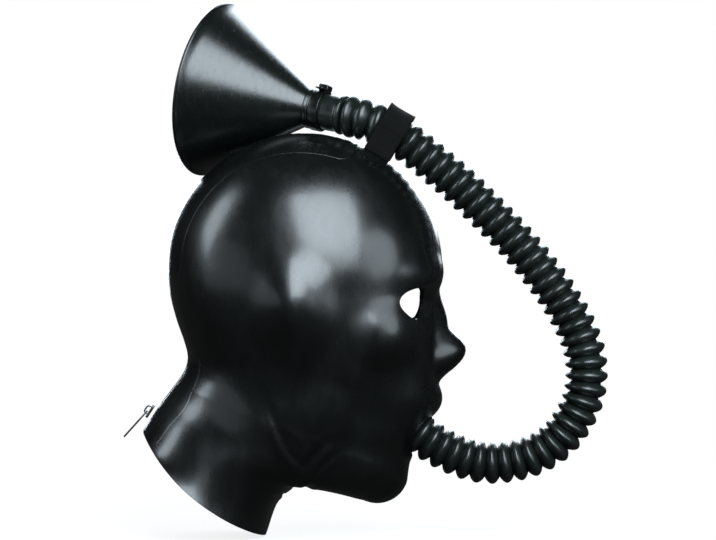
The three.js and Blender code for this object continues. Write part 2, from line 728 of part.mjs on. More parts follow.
// Arch as wide as the hose and its ease, with straight sides down into the hood
function archSolid(radius, width) {
  const arch = new THREE.Shape();
  arch.moveTo(-radius, -HOSE_DIAMETER);
  arch.lineTo(radius, -HOSE_DIAMETER);
  arch.absarc(0, 0, radius, 0, Math.PI, false);
  const geometry = extrude(arch, width);
  geometry.translate(0, 0, -width / 2);
  geometry.applyMatrix4(strapFrame());
  return solidFrom(geometry);
}

// Band round the hose, its floor following the tab
function hoseStrap() {
  const inner = hoseRadius + STRAP_EASE;
  const whole = archSolid(inner + STRAP_WALL, STRAP_WIDTH).subtract(headForm(strapUnder));
  return whole.subtract(archSolid(inner, 2 * STRAP_WIDTH).subtract(headForm(strapUnder + STRAP_WALL)));
}

function strapTab() {
  const end = TAB_WIDTH / 2;
  const straight = TAB_LENGTH / 2 - end;
  const plan = new THREE.Shape();
  plan.absarc(straight, 0, end, -Math.PI / 2, Math.PI / 2, false);
  plan.absarc(-straight, 0, end, Math.PI / 2, 1.5 * Math.PI, false);
  const pad = extrude(plan, 2 * HOSE_DIAMETER);
  pad.rotateX(Math.PI / 2);
  pad.applyMatrix4(strapFrame());
  return headForm(tabTop).subtract(headForm(panelUnder)).intersect(solidFrom(pad));
}

function piece(name, solid, finish) {
  const mesh = new THREE.Mesh(geometryOf(solid), new THREE.MeshStandardMaterial(FINISH[finish]));
  mesh.name = name;
  return mesh;
}

function groupAt(frame, ...meshes) {
  const group = new THREE.Group();
  frame.decompose(group.position, group.quaternion, group.scale);
  group.add(...meshes);
  return group;
}

function zipAssembly() {
  const slider = piece("zip_slider", zipSlider(), "steel");
  const pull = piece("zip_pull", zipPull(), "steel");
  pull.position.set(0, -PULL_SEAT_DROP, SLIDER_PLATE + (BRIDGE_HEIGHT - BRIDGE_WALL) / 2);
  pull.rotation.x = -THREE.MathUtils.degToRad(PULL_LIFT);
  return [
    piece("zip_tape_left", zipTape(1), "tape"),
    piece("zip_tape_right", zipTape(-1), "tape"),
    piece("zip_teeth", zipTeeth(), "steel"),
    groupAt(zipFrame(), slider, pull),
  ];
}

function funnelAssembly() {
  const cuff = piece("hose_cuff", hoseCuff(), "rubber");
  const funnel = piece("funnel", funnelBody(), "rubber");
  const clamp = piece("funnel_clamp", funnelClamp(), "rubber");
  cuff.position.y = cuffStart;
  funnel.position.y = neckStart;
  clamp.position.y = neckStart - CLAMP_OVERHANG;
  return groupAt(frameAlong(hoseEnd, funnelDirection, wearerLeft), cuff, funnel, clamp);
}

const mask = new THREE.Group();
mask.add(
  piece("hood_shell", hoodShell(), "latex"),
  piece("crown_strip", crownStrip(), "latex"),
  ...zipAssembly(),
  piece("mouth_fitting", mouthFitting(), "rubber"),
  piece("hose", hoseTube(), "rubber"),
  funnelAssembly(),
  piece("hose_strap", hoseStrap(), "webbing"),
  piece("strap_tab", strapTab(), "latex"),
);

export default mask;
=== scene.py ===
"""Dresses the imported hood, its hose, funnel, band and zip with their real surfaces and finishes."""

import json
import logging
import math
from dataclasses import dataclass, field
from enum import Enum
from typing import Callable, Iterable, Sequence

import bmesh
import bpy
import numpy as np
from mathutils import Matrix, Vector
from mathutils.bvhtree import BVHTree

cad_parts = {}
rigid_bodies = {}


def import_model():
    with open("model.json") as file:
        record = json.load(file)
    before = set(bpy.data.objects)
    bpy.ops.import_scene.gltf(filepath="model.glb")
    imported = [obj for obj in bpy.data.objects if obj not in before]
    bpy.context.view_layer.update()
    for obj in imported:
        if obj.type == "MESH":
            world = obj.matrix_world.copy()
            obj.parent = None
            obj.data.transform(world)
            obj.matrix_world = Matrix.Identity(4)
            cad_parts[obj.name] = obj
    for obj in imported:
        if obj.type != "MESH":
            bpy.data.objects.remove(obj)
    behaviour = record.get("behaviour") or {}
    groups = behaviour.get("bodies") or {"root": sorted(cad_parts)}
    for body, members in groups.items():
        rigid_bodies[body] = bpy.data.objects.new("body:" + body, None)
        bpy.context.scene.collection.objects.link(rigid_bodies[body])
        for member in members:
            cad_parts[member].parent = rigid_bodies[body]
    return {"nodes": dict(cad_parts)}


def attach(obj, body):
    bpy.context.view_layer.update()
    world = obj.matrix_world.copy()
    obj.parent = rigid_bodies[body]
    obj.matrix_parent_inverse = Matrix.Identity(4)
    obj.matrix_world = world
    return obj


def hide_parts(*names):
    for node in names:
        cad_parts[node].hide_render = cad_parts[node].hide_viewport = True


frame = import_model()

LOG = logging.getLogger("hood")
MM = 0.001
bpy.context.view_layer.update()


class Body(Enum):
    """CAD bodies that the pieces ride on."""

    HOOD = "hood"
    PULL = "pull"


class Slot(Enum):
    """Material slots of the record."""

    LATEX = "latex"
    HOSE = "hose_rubber"
    FUNNEL = "funnel_rubber"
    WEBBING = "webbing"
    TAPE = "tape"
    STEEL = "steel"
    FITTING = "fitting_plastic"


class End(Enum):
    """The two ends of the middle line over the head."""

    FRONT = 0.0
    BACK = math.pi


# Shader maths


class Value:
    """A number socket whose operators add Math nodes."""

    def __init__(self, tree: "ShaderTree", socket: bpy.types.NodeSocket) -> None:
        """Wraps a socket.

        Args:
            tree: The shader tree that the socket belongs to.
            socket: The output socket that holds the number.
        """
        self.tree = tree
        self.socket = socket

    def _math(self, operation: str, first: object, second: object = 0.0) -> "Value":
        """Adds one Math node.

        Args:
            operation: The node's operation.
            first: Its first value or link.
            second: Its second value or link.

        Returns:
            The node's result.
        """
        node = self.tree.node("ShaderNodeMath", {"operation": operation}, {0: first, 1: second})
        return Value(self.tree, node.outputs[0])

    def __add__(self, other: object) -> "Value":
        """Sum."""
        return self._math("ADD", self, other)

    __radd__ = __add__

    def __sub__(self, other: object) -> "Value":
        """Difference."""
        return self._math("SUBTRACT", self, other)

    def __rsub__(self, other: object) -> "Value":
        """Reflected difference."""
        return self._math("SUBTRACT", other, self)

    def __mul__(self, other: object) -> "Value":
        """Product."""
        return self._math("MULTIPLY", self, other)

    __rmul__ = __mul__

    def __pow__(self, other: object) -> "Value":
        """Power."""
        return self._math("POWER", self, other)

    def absolute(self) -> "Value":
        """Size without its sign."""
        return self._math("ABSOLUTE", self)

    def sine(self) -> "Value":
        """Sine of the number in radians."""
        return self._math("SINE", self)

    def smallest(self, other: object) -> "Value":
        """The lower of two numbers."""
        return self._math("MINIMUM", self, other)

    def between(self, low: float, high: float) -> "Value":
        """A smooth step.

        Args:
            low: The number that gives 0.
            high: The number that gives 1.

        Returns:
            The stepped number.
        """
        node = self.tree.node(
            "ShaderNodeMapRange",
            {"interpolation_type": "SMOOTHSTEP"},
            {"Value": self, "From Min": low, "From Max": high},
        )
        return Value(self.tree, node.outputs["Result"])


class ShaderTree:
    """A material with a Principled shader and the nodes that feed it."""

    def __init__(self, name: str) -> None:
        """Makes the material.

        Args:
            name: The material's name.
        """
        self.material = bpy.data.materials.new(name)
        self.material.use_nodes = True
        self.nodes = self.material.node_tree.nodes
        self.links = self.material.node_tree.links
        self.shader = self.nodes["Principled BSDF"]
        self.output = self.nodes["Material Output"]

    def node(self, kind: str, settings: dict[str, object], values: dict[object, object]) -> bpy.types.Node:
        """Adds a node of any type.

        Args:
            kind: The node's type name.
            settings: Its settings, which are set first.
            values: The numbers, vectors or links of its sockets by name or index.

        Returns:
            The new node.
        """
        node = self.nodes.new(kind)
        for name, setting in settings.items():
            setattr(node, name, setting)
        for name, value in values.items():
            self._feed(node.inputs[name], value)
        return node

    def _feed(self, socket: bpy.types.NodeSocket, value: object) -> None:
        """Links or sets one input.

        Args:
            socket: The input.
            value: A Value, an output socket, a number or a vector.
        """
        if isinstance(value, Value):
            self.links.new(value.socket, socket)
        elif isinstance(value, bpy.types.NodeSocket):
            self.links.new(value, socket)
        elif isinstance(value, (tuple, list)) and len(value) == 3 and socket.type == "RGBA":
            socket.default_value = (*value, 1.0)
        else:
            socket.default_value = value

    def place(self) -> bpy.types.NodeSocket:
        """Position on the piece in metres."""
        return self.node("ShaderNodeTexCoord", {}, {}).outputs["Object"]

    def along(self, name: str) -> bpy.types.NodeSocket:
        """A vector that the mesh carries at its points.

        Args:
            name: The attribute's name.

        Returns:
            The vector socket.
        """
        node = self.node("ShaderNodeAttribute", {"attribute_name": name}, {})
        return node.outputs["Vector"]

    def axes(self, vector: bpy.types.NodeSocket) -> tuple[Value, Value, Value]:
        """Splits a vector into its three numbers."""
        node = self.node("ShaderNodeSeparateXYZ", {}, {"Vector": vector})
        return tuple(Value(self, socket) for socket in node.outputs)

    def stretched(self, vector: bpy.types.NodeSocket, scale: Sequence[float]) -> bpy.types.NodeSocket:
        """Multiplies a vector axis by axis."""
        node = self.node("ShaderNodeVectorMath", {"operation": "MULTIPLY"}, {0: vector, 1: tuple(scale)})
        return node.outputs["Vector"]

    def noise(
        self, vector: bpy.types.NodeSocket, scale: float, detail: float = 2.0, rough: float = 0.5
    ) -> Value:
        """A noise number from 0 to 1.

        Args:
            vector: Where it is read.
            scale: Cells a metre.
            detail: Number of finer layers.
            rough: Strength of the finer layers.

        Returns:
            The noise.
        """
        values = {"Vector": vector, "Scale": scale, "Detail": detail, "Roughness": rough}
        return Value(self, self.node("ShaderNodeTexNoise", {}, values).outputs["Fac"])

    def cells(self, vector: bpy.types.NodeSocket, scale: float) -> Value:
        """Distance to the nearest of many scattered points."""
        values = {"Vector": vector, "Scale": scale, "Randomness": 1.0}
        return Value(self, self.node("ShaderNodeTexVoronoi", {}, values).outputs["Distance"])

    def mixed(self, share: object, first: Sequence[float], second: Sequence[float]) -> bpy.types.NodeSocket:
        """Mixes two colours.

        Args:
            share: How much of the second colour shows.
            first: The first colour.
            second: The second colour.

        Returns:
            The mixed colour.
        """
        node = self.node("ShaderNodeMix", {"data_type": "RGBA"}, {"Factor": share})
        self._feed(node.inputs[6], first)
        self._feed(node.inputs[7], second)
        return node.outputs[2]

    def raised(self, height: Value, distance: float) -> None:
        """Feeds a relief into the shader's normal.

        Args:
            height: The relief from 0 to 1.
            distance: The relief's real height in metres.
        """
        node = self.node("ShaderNodeBump", {}, {"Height": height, "Distance": distance, "Strength": 1.0})
        self.links.new(node.outputs["Normal"], self.shader.inputs["Normal"])

    def dress(self, **values: object) -> bpy.types.Material:
        """Sets the shader's own sockets.

        Args:
            **values: The sockets' values, with spaces in names written as underscores.

        Returns:
            The material.
        """
        for name, value in values.items():
            self._feed(self.shader.inputs[name.replace("_", " ")], value)
        return self.material


# Finishes


@dataclass(frozen=True)
class Latex:
    """Polished black latex sheet with soft smears, dust and slight waves."""

    tint: tuple[float, float, float] = (0.0014, 0.0017, 0.0016)
    haze: tuple[float, float, float] = (0.0042, 0.0052, 0.0049)
    roughness: float = 0.25
    smear: float = 0.08
    wave_height: float = 0.0011
    peel_height: float = 0.000018
    cloud_scale: float = 13.0
    smear_scale: float = 55.0
    dust_scale: float = 420.0
    wave_scale: float = 17.0
    ripple_scale: float = 46.0
    peel_scale: float = 1500.0

    def material(self, name: str) -> bpy.types.Material:
        """Makes the material."""
        tree = ShaderTree(name)
        place = tree.place()
        cloud = tree.noise(place, self.cloud_scale, 3.0)
        smear = tree.noise(tree.stretched(place, (1.0, 1.0, 0.35)), self.smear_scale, 5.0, 0.62)
        dust = 1.0 - tree.cells(place, self.dust_scale).between(0.01, 0.06)
        wave = tree.noise(place, self.wave_scale, 1.5, 0.4)
        ripple = tree.noise(tree.stretched(place, (1.0, 1.0, 0.6)), self.ripple_scale, 2.0, 0.45)
        peel = tree.noise(place, self.peel_scale, 2.0)
        share = self.peel_height / self.wave_height
        tree.raised(wave * 0.78 + ripple * 0.2 + peel * share, self.wave_height)
        haze = (cloud.between(0.4, 0.75) * 0.5 + dust * 0.35).smallest(1.0)
        rough = self.roughness + smear.between(0.35, 0.75) * self.smear + dust * 0.04
        return tree.dress(
            Base_Color=tree.mixed(haze, self.tint, self.haze),
            Roughness=rough,
            IOR=1.52,
            Coat_Weight=0.12,
            Coat_Roughness=0.12,
        )


@dataclass(frozen=True)
class MouldedRubber:
    """Satin moulded rubber with fine grain, scuffs and a little bloom."""

    tint: tuple[float, float, float] = (0.0058, 0.0076, 0.0068)
    bloom: tuple[float, float, float] = (0.018, 0.0225, 0.0205)
    roughness: float = 0.26
    scuff: float = 0.14
    grain_height: float = 0.00006
    cloud_scale: float = 34.0
    scuff_scale: float = 160.0
    grain_scale: float = 1900.0
    speck_scale: float = 700.0

    def material(self, name: str) -> bpy.types.Material:
        """Makes the material."""
        tree = ShaderTree(name)
        place = tree.place()
        cloud = tree.noise(place, self.cloud_scale, 5.0, 0.6)
        scuff = tree.noise(tree.stretched(place, (1.0, 2.2, 0.8)), self.scuff_scale, 5.0, 0.7)
        grain = tree.noise(place, self.grain_scale, 3.0, 0.6)
        specks = 1.0 - tree.cells(place, self.speck_scale).between(0.03, 0.14)
        tree.raised(grain * 0.7 + scuff * 0.3, self.grain_height)
        patches = cloud.between(0.42, 0.8) * 0.45 + scuff.between(0.55, 0.8) * 0.3
        bloom = (patches + specks * 0.25).smallest(1.0)
        return tree.dress(
            Base_Color=tree.mixed(bloom, self.tint, self.bloom),
            Roughness=self.roughness + scuff.between(0.3, 0.8) * self.scuff,
            IOR=1.5,
        )


@dataclass(frozen=True)
class WovenBand:
    """Black webbing with a coarse weave, whose gaps between threads are painted darker as shade; the mesh
    carries across and along in metres.
    """

    tint: tuple[float, float, float] = (0.0006, 0.0006, 0.0006)
    # Lighter colour on the raised threads and on worn patches; the darker tint left in the gaps between
    # threads is painted shade.
    lit_thread_and_wear: tuple[float, float, float] = (0.0026, 0.0027, 0.0027)
    pitch: float = 0.0011
    relief: float = 0.00025
    roughness: float = 0.86
    fuzz_scale: float = 2600.0
    wear_scale: float = 120.0

    def material(self, name: str) -> bpy.types.Material:
        """Makes the material."""
        tree = ShaderTree(name)
        across, along, _ = tree.axes(tree.along("weave"))
        turn = math.pi / self.pitch
        rib = (along * turn + (across * turn * 2.0).sine() * 0.7).sine().absolute()
        strand = (across * turn).sine().absolute()
        fuzz = tree.noise(tree.place(), self.fuzz_scale, 4.0, 0.7)
        worn = tree.noise(tree.place(), self.wear_scale, 4.0, 0.6)
        weave = rib * 0.6 + strand * 0.25 + fuzz * 0.3
        tree.raised(weave, self.relief)
        # The weave's relief also sets the colour: painted shade in the gaps between threads, a lighter colour
        # on the raised threads, and real wear in the worn patches.
        share = (weave.between(0.35, 1.05) * 0.7 + worn.between(0.45, 0.8) * 0.3).smallest(1.0)
        return tree.dress(
            Base_Color=tree.mixed(share, self.tint, self.lit_thread_and_wear),
            Roughness=self.roughness + fuzz * 0.1,
            Specular_IOR_Level=0.22,
            IOR=1.4,
        )


@dataclass(frozen=True)
class PolishedMetal:
    """Nickelled metal with hairline scratches and dull, stained clouds."""

    tint: tuple[float, float, float] = (0.2, 0.2, 0.195)
    stain: tuple[float, float, float] = (0.07, 0.07, 0.068)
    roughness: float = 0.2
    metallic: float = 1.0
    scratch_scale: float = 5200.0
    cloud_scale: float = 420.0
    scratch_height: float = 0.00002

    def material(self, name: str) -> bpy.types.Material:
        """Makes the material."""
        tree = ShaderTree(name)
        place = tree.place()
        scratch = tree.noise(tree.stretched(place, (1.0, 0.15, 0.15)), self.scratch_scale, 3.0, 0.6)
        cloud = tree.noise(place, self.cloud_scale, 4.0, 0.6)
        tree.raised(scratch * 0.6 + cloud * 0.4, self.scratch_height)
        return tree.dress(
            Base_Color=tree.mixed(cloud.between(0.4, 0.72), self.tint, self.stain),
            Metallic=self.metallic,
            Roughness=self.roughness + cloud.between(0.3, 0.8) * 0.22 + scratch * 0.06,
        )


@dataclass(frozen=True)
class DullPlastic:
    """Matt moulded plastic of the hidden fitting."""

    tint: tuple[float, float, float] = (0.022, 0.023, 0.024)
    wear: tuple[float, float, float] = (0.05, 0.05, 0.052)
    grain_scale: float = 1400.0
    wear_scale: float = 140.0
    grain_height: float = 0.00005

    def material(self, name: str) -> bpy.types.Material:
        """Makes the material."""
        tree = ShaderTree(name)
        place = tree.place()
        grain = tree.noise(place, self.grain_scale, 3.0, 0.6)
        wear = tree.noise(place, self.wear_scale, 5.0, 0.65)
        tree.raised(grain, self.grain_height)
        return tree.dress(
            Base_Color=tree.mixed(wear.between(0.45, 0.8) * 0.6, self.tint, self.wear),
            Roughness=0.5 + wear * 0.2,
            IOR=1.46,
        )


# Mesh helpers


def set_piece(obj: bpy.types.Object, slot: Slot, body: Body = Body.HOOD, nodes: Iterable[str] = ()) -> None:
    """Lets a finished piece ride and hides the CAD nodes that it stands for.

    Args:
        obj: The piece.
        slot: The record's material slot; not used.
        body: The CAD body that it moves with.
        nodes: The CAD nodes that it replaces.
    """
    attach(obj, body.value)
    if nodes:
        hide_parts(*nodes)


def mesh_piece(
    name: str,
    points: np.ndarray,
    faces: Sequence[Sequence[int]],
    material: bpy.types.Material,
    sharp: float = 40.0,
) -> bpy.types.Object:
    """Makes a smooth-shaded object from points in millimetres.

    Args:
        name: The object's name.
        points: Points in millimetres, one a row.
        faces: Corner numbers of each face.
        material: The finish.
        sharp: Angle in degrees above which an edge stays hard.

    Returns:
        The object, linked to the scene.
    """
    mesh = bpy.data.meshes.new(name)
    mesh.from_pydata((np.asarray(points) * MM).tolist(), [], [list(map(int, face)) for face in faces])
    mesh.validate()
    mesh.materials.append(material)
    obj = bpy.data.objects.new(name, mesh)
    bpy.context.scene.collection.objects.link(obj)
    smooth(mesh, sharp)
    return obj


def smooth(mesh: bpy.types.Mesh, sharp: float) -> None:
    """Shades a mesh smooth with hard edges above an angle in degrees."""
    mesh.polygons.foreach_set("use_smooth", [True] * len(mesh.polygons))
    mesh.set_sharp_from_angle(angle=math.radians(sharp))


def carry(obj: bpy.types.Object, name: str, values: np.ndarray) -> None:
    """Stores one vector a point on a mesh.

    Args:
        obj: The piece.
        name: The attribute's name.
        values: The vectors, one a row.
    """
    attribute = obj.data.attributes.new(name, "FLOAT_VECTOR", "POINT")
    attribute.data.foreach_set("vector", np.asarray(values, np.float32).ravel())


def bake_modifiers(obj: bpy.types.Object, sharp: float) -> None:
    """Turns a piece's modifiers into its mesh.

    Args:
        obj: The piece.
        sharp: Angle in degrees above which an edge stays hard.
    """
    graph = bpy.context.evaluated_depsgraph_get()
    mesh = bpy.data.meshes.new_from_object(obj.evaluated_get(graph))
    obj.modifiers.clear()
    obj.data = mesh
    smooth(mesh, sharp)


def face_outwards(obj: bpy.types.Object, drop_loose: bool = False) -> None:
    """Turns the faces of a piece outwards.

    Args:
        obj: The piece.
        drop_loose: Whether points that no face uses are dropped.
    """
    mesh = bmesh.new()
    mesh.from_mesh(obj.data)
    if drop_loose:
        loose = [vertex for vertex in mesh.verts if not vertex.link_faces]
        bmesh.ops.delete(mesh, geom=loose, context="VERTS")
    bmesh.ops.recalc_face_normals(mesh, faces=mesh.faces)
    mesh.to_mesh(obj.data)
    mesh.free()


def bevel(obj: bpy.types.Object, width: float, segments: int = 3, angle: float = 35.0) -> None:
    """Rounds the hard edges of a piece.

    Args:
        obj: The piece.
        width: Width of the rounding in millimetres.
        segments: Steps of the rounding.
        angle: Angle in degrees above which an edge is rounded.
    """
    modifier = obj.modifiers.new("round", "BEVEL")
    modifier.width = width * MM
    modifier.segments = segments
    modifier.limit_method = "ANGLE"
    modifier.angle_limit = math.radians(angle)


def grid_faces(rows: int, columns: int, closed: bool, start: int = 0, flip: bool = False) -> list[list[int]]:
    """Faces of a grid of points that are stored row by row.

    Args:
        rows: Number of rows.
        columns: Points in a row.
        closed: Whether the last column joins the first.
        start: Number of the grid's first point.
        flip: Whether the faces look the other way.

    Returns:
        Corner numbers of each face.
    """
    faces = []
    for row in range(rows - 1):
        for column in range(columns if closed else columns - 1):
            after = (column + 1) % columns
            face = [
                start + row * columns + column,
                start + (row + 1) * columns + column,
                start + (row + 1) * columns + after,
                start + row * columns + after,
            ]
            faces.append(face[::-1] if flip else face)
    return faces


def lathe(profile: Sequence[tuple[float, float]], segments: int) -> tuple[np.ndarray, list[list[int]]]:
    """Turns a closed profile round the local Y axis.

    Args:
        profile: Pairs of radius and height in millimetres.
        segments: Steps round the axis.

    Returns:
        Points in millimetres and faces.
    """
    turns = np.linspace(0.0, 2.0 * math.pi, segments, endpoint=False)
    rows = [
        np.stack([radius * np.cos(turns), np.full(segments, height), radius * np.sin(turns)], axis=1)
        for radius, height in profile
    ]
    count = len(profile)
    points = np.concatenate(rows)
    faces = grid_faces(count, segments, True)
    for column in range(segments):
        after = (column + 1) % segments
        last = (count - 1) * segments
        faces.append([last + column, column, after, last + after])
    return points, faces


def rounded(
    profile: Sequence[tuple[float, float]], radius: float, steps: int = 4
) -> list[tuple[float, float]]:
    """Rounds the corners of a closed profile.

    Args:
        profile: Pairs of radius and height.
        radius: The rounding's reach along each side.
        steps: Points a corner.

    Returns:
        The profile with its corners rounded.
    """
    corners = [np.array(point, float) for point in profile]
    result = []
    for index, corner in enumerate(corners):
        before = corners[index - 1] - corner
        after = corners[(index + 1) % len(corners)] - corner
        reach = min(radius, np.linalg.norm(before) * 0.45, np.linalg.norm(after) * 0.45)
        start = corner + before / np.linalg.norm(before) * reach
        end = corner + after / np.linalg.norm(after) * reach
        for share in np.linspace(0.0, 1.0, steps):
            point = start * (1 - share) ** 2 + corner * 2 * share * (1 - share) + end * share**2
            result.append((float(point[0]), float(point[1])))
    return result


def axis_frame(origin: np.ndarray, direction: np.ndarray) -> np.ndarray:
    """A frame whose Y runs along a direction and whose X stays nearest to the wearer's left.

    Args:
        origin: The frame's origin in millimetres.
        direction: The direction of its Y.

    Returns:
        A 4 by 4 matrix.
    """
    up = direction / np.linalg.norm(direction)
    depth = np.cross([1.0, 0.0, 0.0], up)
    depth /= np.linalg.norm(depth)
    side = np.cross(up, depth)
    matrix = np.eye(4)
    matrix[:3, 0], matrix[:3, 1], matrix[:3, 2], matrix[:3, 3] = side, up, depth, origin
    return matrix


def moved(points: np.ndarray, matrix: np.ndarray) -> np.ndarray:
    """Points moved by a 4 by 4 matrix."""
    return points @ matrix[:3, :3].T + matrix[:3, 3]


# Head form


@dataclass
class HeadForm:
    """The head that the hood is moulded to, in millimetres."""

    length: float = 195.0
    breadth: float = 153.0
    height: float = 262.0
    neck: float = 119.0
    hem_side_drop: float = 8.5
    side_drops: tuple[float, ...] = (0.14, 0.5, 0.95, 1.25, 1.25, 1.0)
    neck_slope: float = 60.0
    widest: float = 0.46
    skull_drop: float = 0.363
    skull_steps: int = 6
    skull_full: tuple[float, float] = (0.02, 0.08)
    head_rows: tuple[tuple[float, ...], ...] = (
        (1.0, 0.363, 0.995, 0.363, 1.0, 0.02, 0.08),
        (0.965, 0.45, 0.98, 0.435, 0.995, 0.02, 0.07),
        (0.95, 0.542, 0.934, 0.504, 0.965, 0.04, 0.05),
        (0.958, 0.641, 0.877, 0.565, 0.905, 0.03, 0.05),
        (0.96, 0.735, 0.851, 0.607, 0.84, 0.0, 0.05),
        (0.842, 0.814, 0.867, 0.641, 0.785, -0.02, 0.05),
        (0.727, 0.889, 0.908, 0.668, 0.75, -0.03, 0.05),
    )
    neck_rows: tuple[tuple[float, ...], ...] = (
        (0.682, 0.95, 0.954, 0.691, 0.955, -0.04, 0.05),
        (0.513, 0.998, 0.995, 0.712, 0.945, -0.04, 0.05),
        (0.236, 0.975, 1.031, 0.729, 0.945, 0.0, 0.05),
        (-0.02, 0.955, 1.067, 0.748, 0.95, 0.02, 0.05),
        (-0.2, 1.0, 1.118, 0.777, 0.975, 0.02, 0.02),
        (-0.3, 1.095, 1.18, 0.813, 1.0, 0.02, 0.02),
    )
    features: tuple[tuple[float, ...], ...] = (
        (0.0, 1.0, 0.53, 0.21, 0.5, 0.12, 9.0),
        (0.0, 1.0, 0.605, 0.27, 0.5, 0.085, 18.0),
        (0.38, 0.93, 0.385, 0.5, 0.4, 0.07, 3.5),
        (0.42, 0.9, 0.465, 0.3, 0.4, 0.075, -7.0),
        (0.72, 0.68, 0.545, 0.45, 0.45, 0.11, 5.0),
        (0.62, 0.6, 0.7, 0.45, 0.45, 0.14, -4.5),
        (0.0, 0.96, 0.728, 0.4, 0.4, 0.06, 3.5),
        (0.0, 0.75, 0.885, 0.38, 0.3, 0.055, 4.0),
        (0.0, 0.66, 0.965, 0.34, 0.3, 0.085, 6.0),
        (0.76, 0.08, 0.77, 0.4, 0.4, 0.12, 4.0),
        (1.0, -0.06, 0.485, 0.5, 0.36, 0.18, 6.0),
        (1.0, -0.14, 0.45, 0.5, 0.24, 0.13, 3.0),
    )
    rows: np.ndarray = field(init=False)

    def __post_init__(self) -> None:
        """Works out the sections, with one above the crown and one below the hem."""
        rows = []
        for step in range(-1, self.skull_steps):
            angle = step / self.skull_steps * math.pi / 2
            reach, drop = math.sin(angle), self.skull_drop * (1 - math.cos(angle))
            rows.append(self._sizes((reach, drop, reach, drop, reach, *self.skull_full), self.breadth, 0.0))
        rows += [self._sizes(row, self.breadth, 0.0) for row in self.head_rows]
        for row, share in zip(self.neck_rows, self.side_drops):
            rows.append(self._sizes(row, self.neck, self.hem_side_drop * share))
        rows = np.array(rows)
        self.rows = np.vstack([rows, 2 * rows[-1] - rows[-2]])

    def _sizes(self, row: Sequence[float], width: float, side_drop: float) -> list[float]:
        """Sizes of one section in millimetres.

        Args:
            row: Shares of the front and back reach and drop, the width and the two fullnesses.
            width: The whole breadth that the width is a share of.
            side_drop: How far the sides hang below the middle.

        Returns:
            The eight sizes.
        """
        fore, fore_drop, aft, aft_drop, wide, full, rear = row
        half = self.length / 2
        return [
            fore * half, -fore_drop * self.height, -aft * half, -aft_drop * self.height,
            wide * width / 2, full, rear, side_drop,
        ]

    @property
    def hem(self) -> float:
        """Station of the hem."""
        return float(len(self.rows) - 3)

    def sections(self, station: np.ndarray) -> np.ndarray:
        """Smooth sizes at any stations.

        Args:
            station: Stations, 0 at the crown.

        Returns:
            Eight sizes a station.
        """
        index = np.clip(np.floor(station).astype(int), 0, len(self.rows) - 4)
        share = (station - index)[..., None]
        before, start, end, after = (self.rows[index + step] for step in range(4))
        cubic = 3 * start - before - 3 * end + after
        curve = start + 0.5 * share * (
            end - before + share * (2 * before - 5 * start + 4 * end - after + share * cubic)
        )
        return np.where(share > 1, end + (after - end) * (share - 1), curve)

    def plain(self, angle: np.ndarray, station: np.ndarray) -> np.ndarray:
        """Points of the form without its features.

        Args:
            angle: Angles, 0 at the front and a quarter turn at the wearer's left.
            station: Stations, 0 at the crown.

        Returns:
            Points in millimetres.
        """
        sizes = self.sections(station)
        fore, fore_z, aft, aft_z, wide, full, rear, drop = (sizes[..., k] for k in range(8))
        sideways, ahead = np.sin(angle), np.cos(angle)
        middle = aft + self.widest * (fore - aft)
        middle_z = aft_z + self.widest * (fore_z - aft_z)
        front = ahead > 0
        end, end_z = np.where(front, fore, aft), np.where(front, fore_z, aft_z)
        fullness = np.where(front, full, rear)
        length = np.abs(ahead)
        hang = drop * sideways**2
        slope = math.radians(self.neck_slope)
        return np.stack(
            [
                wide * sideways * (1 + fullness * length**2),
                -(middle + (end - middle) * length - hang * math.cos(slope)),
                middle_z + (end_z - middle_z) * length - hang * math.sin(slope),
            ],
            axis=-1,
        )

    def outward(
        self, surface: Callable[[np.ndarray, np.ndarray], np.ndarray], angle: np.ndarray, station: np.ndarray
    ) -> np.ndarray:
        """Outward directions of a surface by small steps.

        Args:
            surface: The surface function of angle and station.
            angle: Angles.
            station: Stations.

        Returns:
            Unit vectors.
        """
        step = 1e-3
        around = surface(angle + step, station) - surface(angle - step, station)
        down = surface(angle, station + step) - surface(angle, station - step)
        normal = np.cross(down, around)
        return normal / np.linalg.norm(normal, axis=-1, keepdims=True)

    def rise(self, points: np.ndarray) -> np.ndarray:
        """How far the features raise each point.

        Args:
            points: Points of the plain form.

        Returns:
            Rises in millimetres.
        """
        side = np.abs(points[..., 0]) / (self.breadth / 2)
        reach = -points[..., 1] / (self.length / 2)
        drop = -points[..., 2] / self.height
        total = np.zeros(side.shape)
        for at, ahead, down, wide, deep, tall, height in self.features:
            apart = ((side - at) / wide) ** 2 + ((reach - ahead) / deep) ** 2 + ((drop - down) / tall) ** 2
            total += height * np.clip(1 - apart, 0, None) ** 2
        return total

    def face(self, angle: np.ndarray, station: np.ndarray) -> np.ndarray:
        """Points of the form with its features."""
        points = self.plain(angle, station)
        return points + self.outward(self.plain, angle, station) * self.rise(points)[..., None]


# Hood


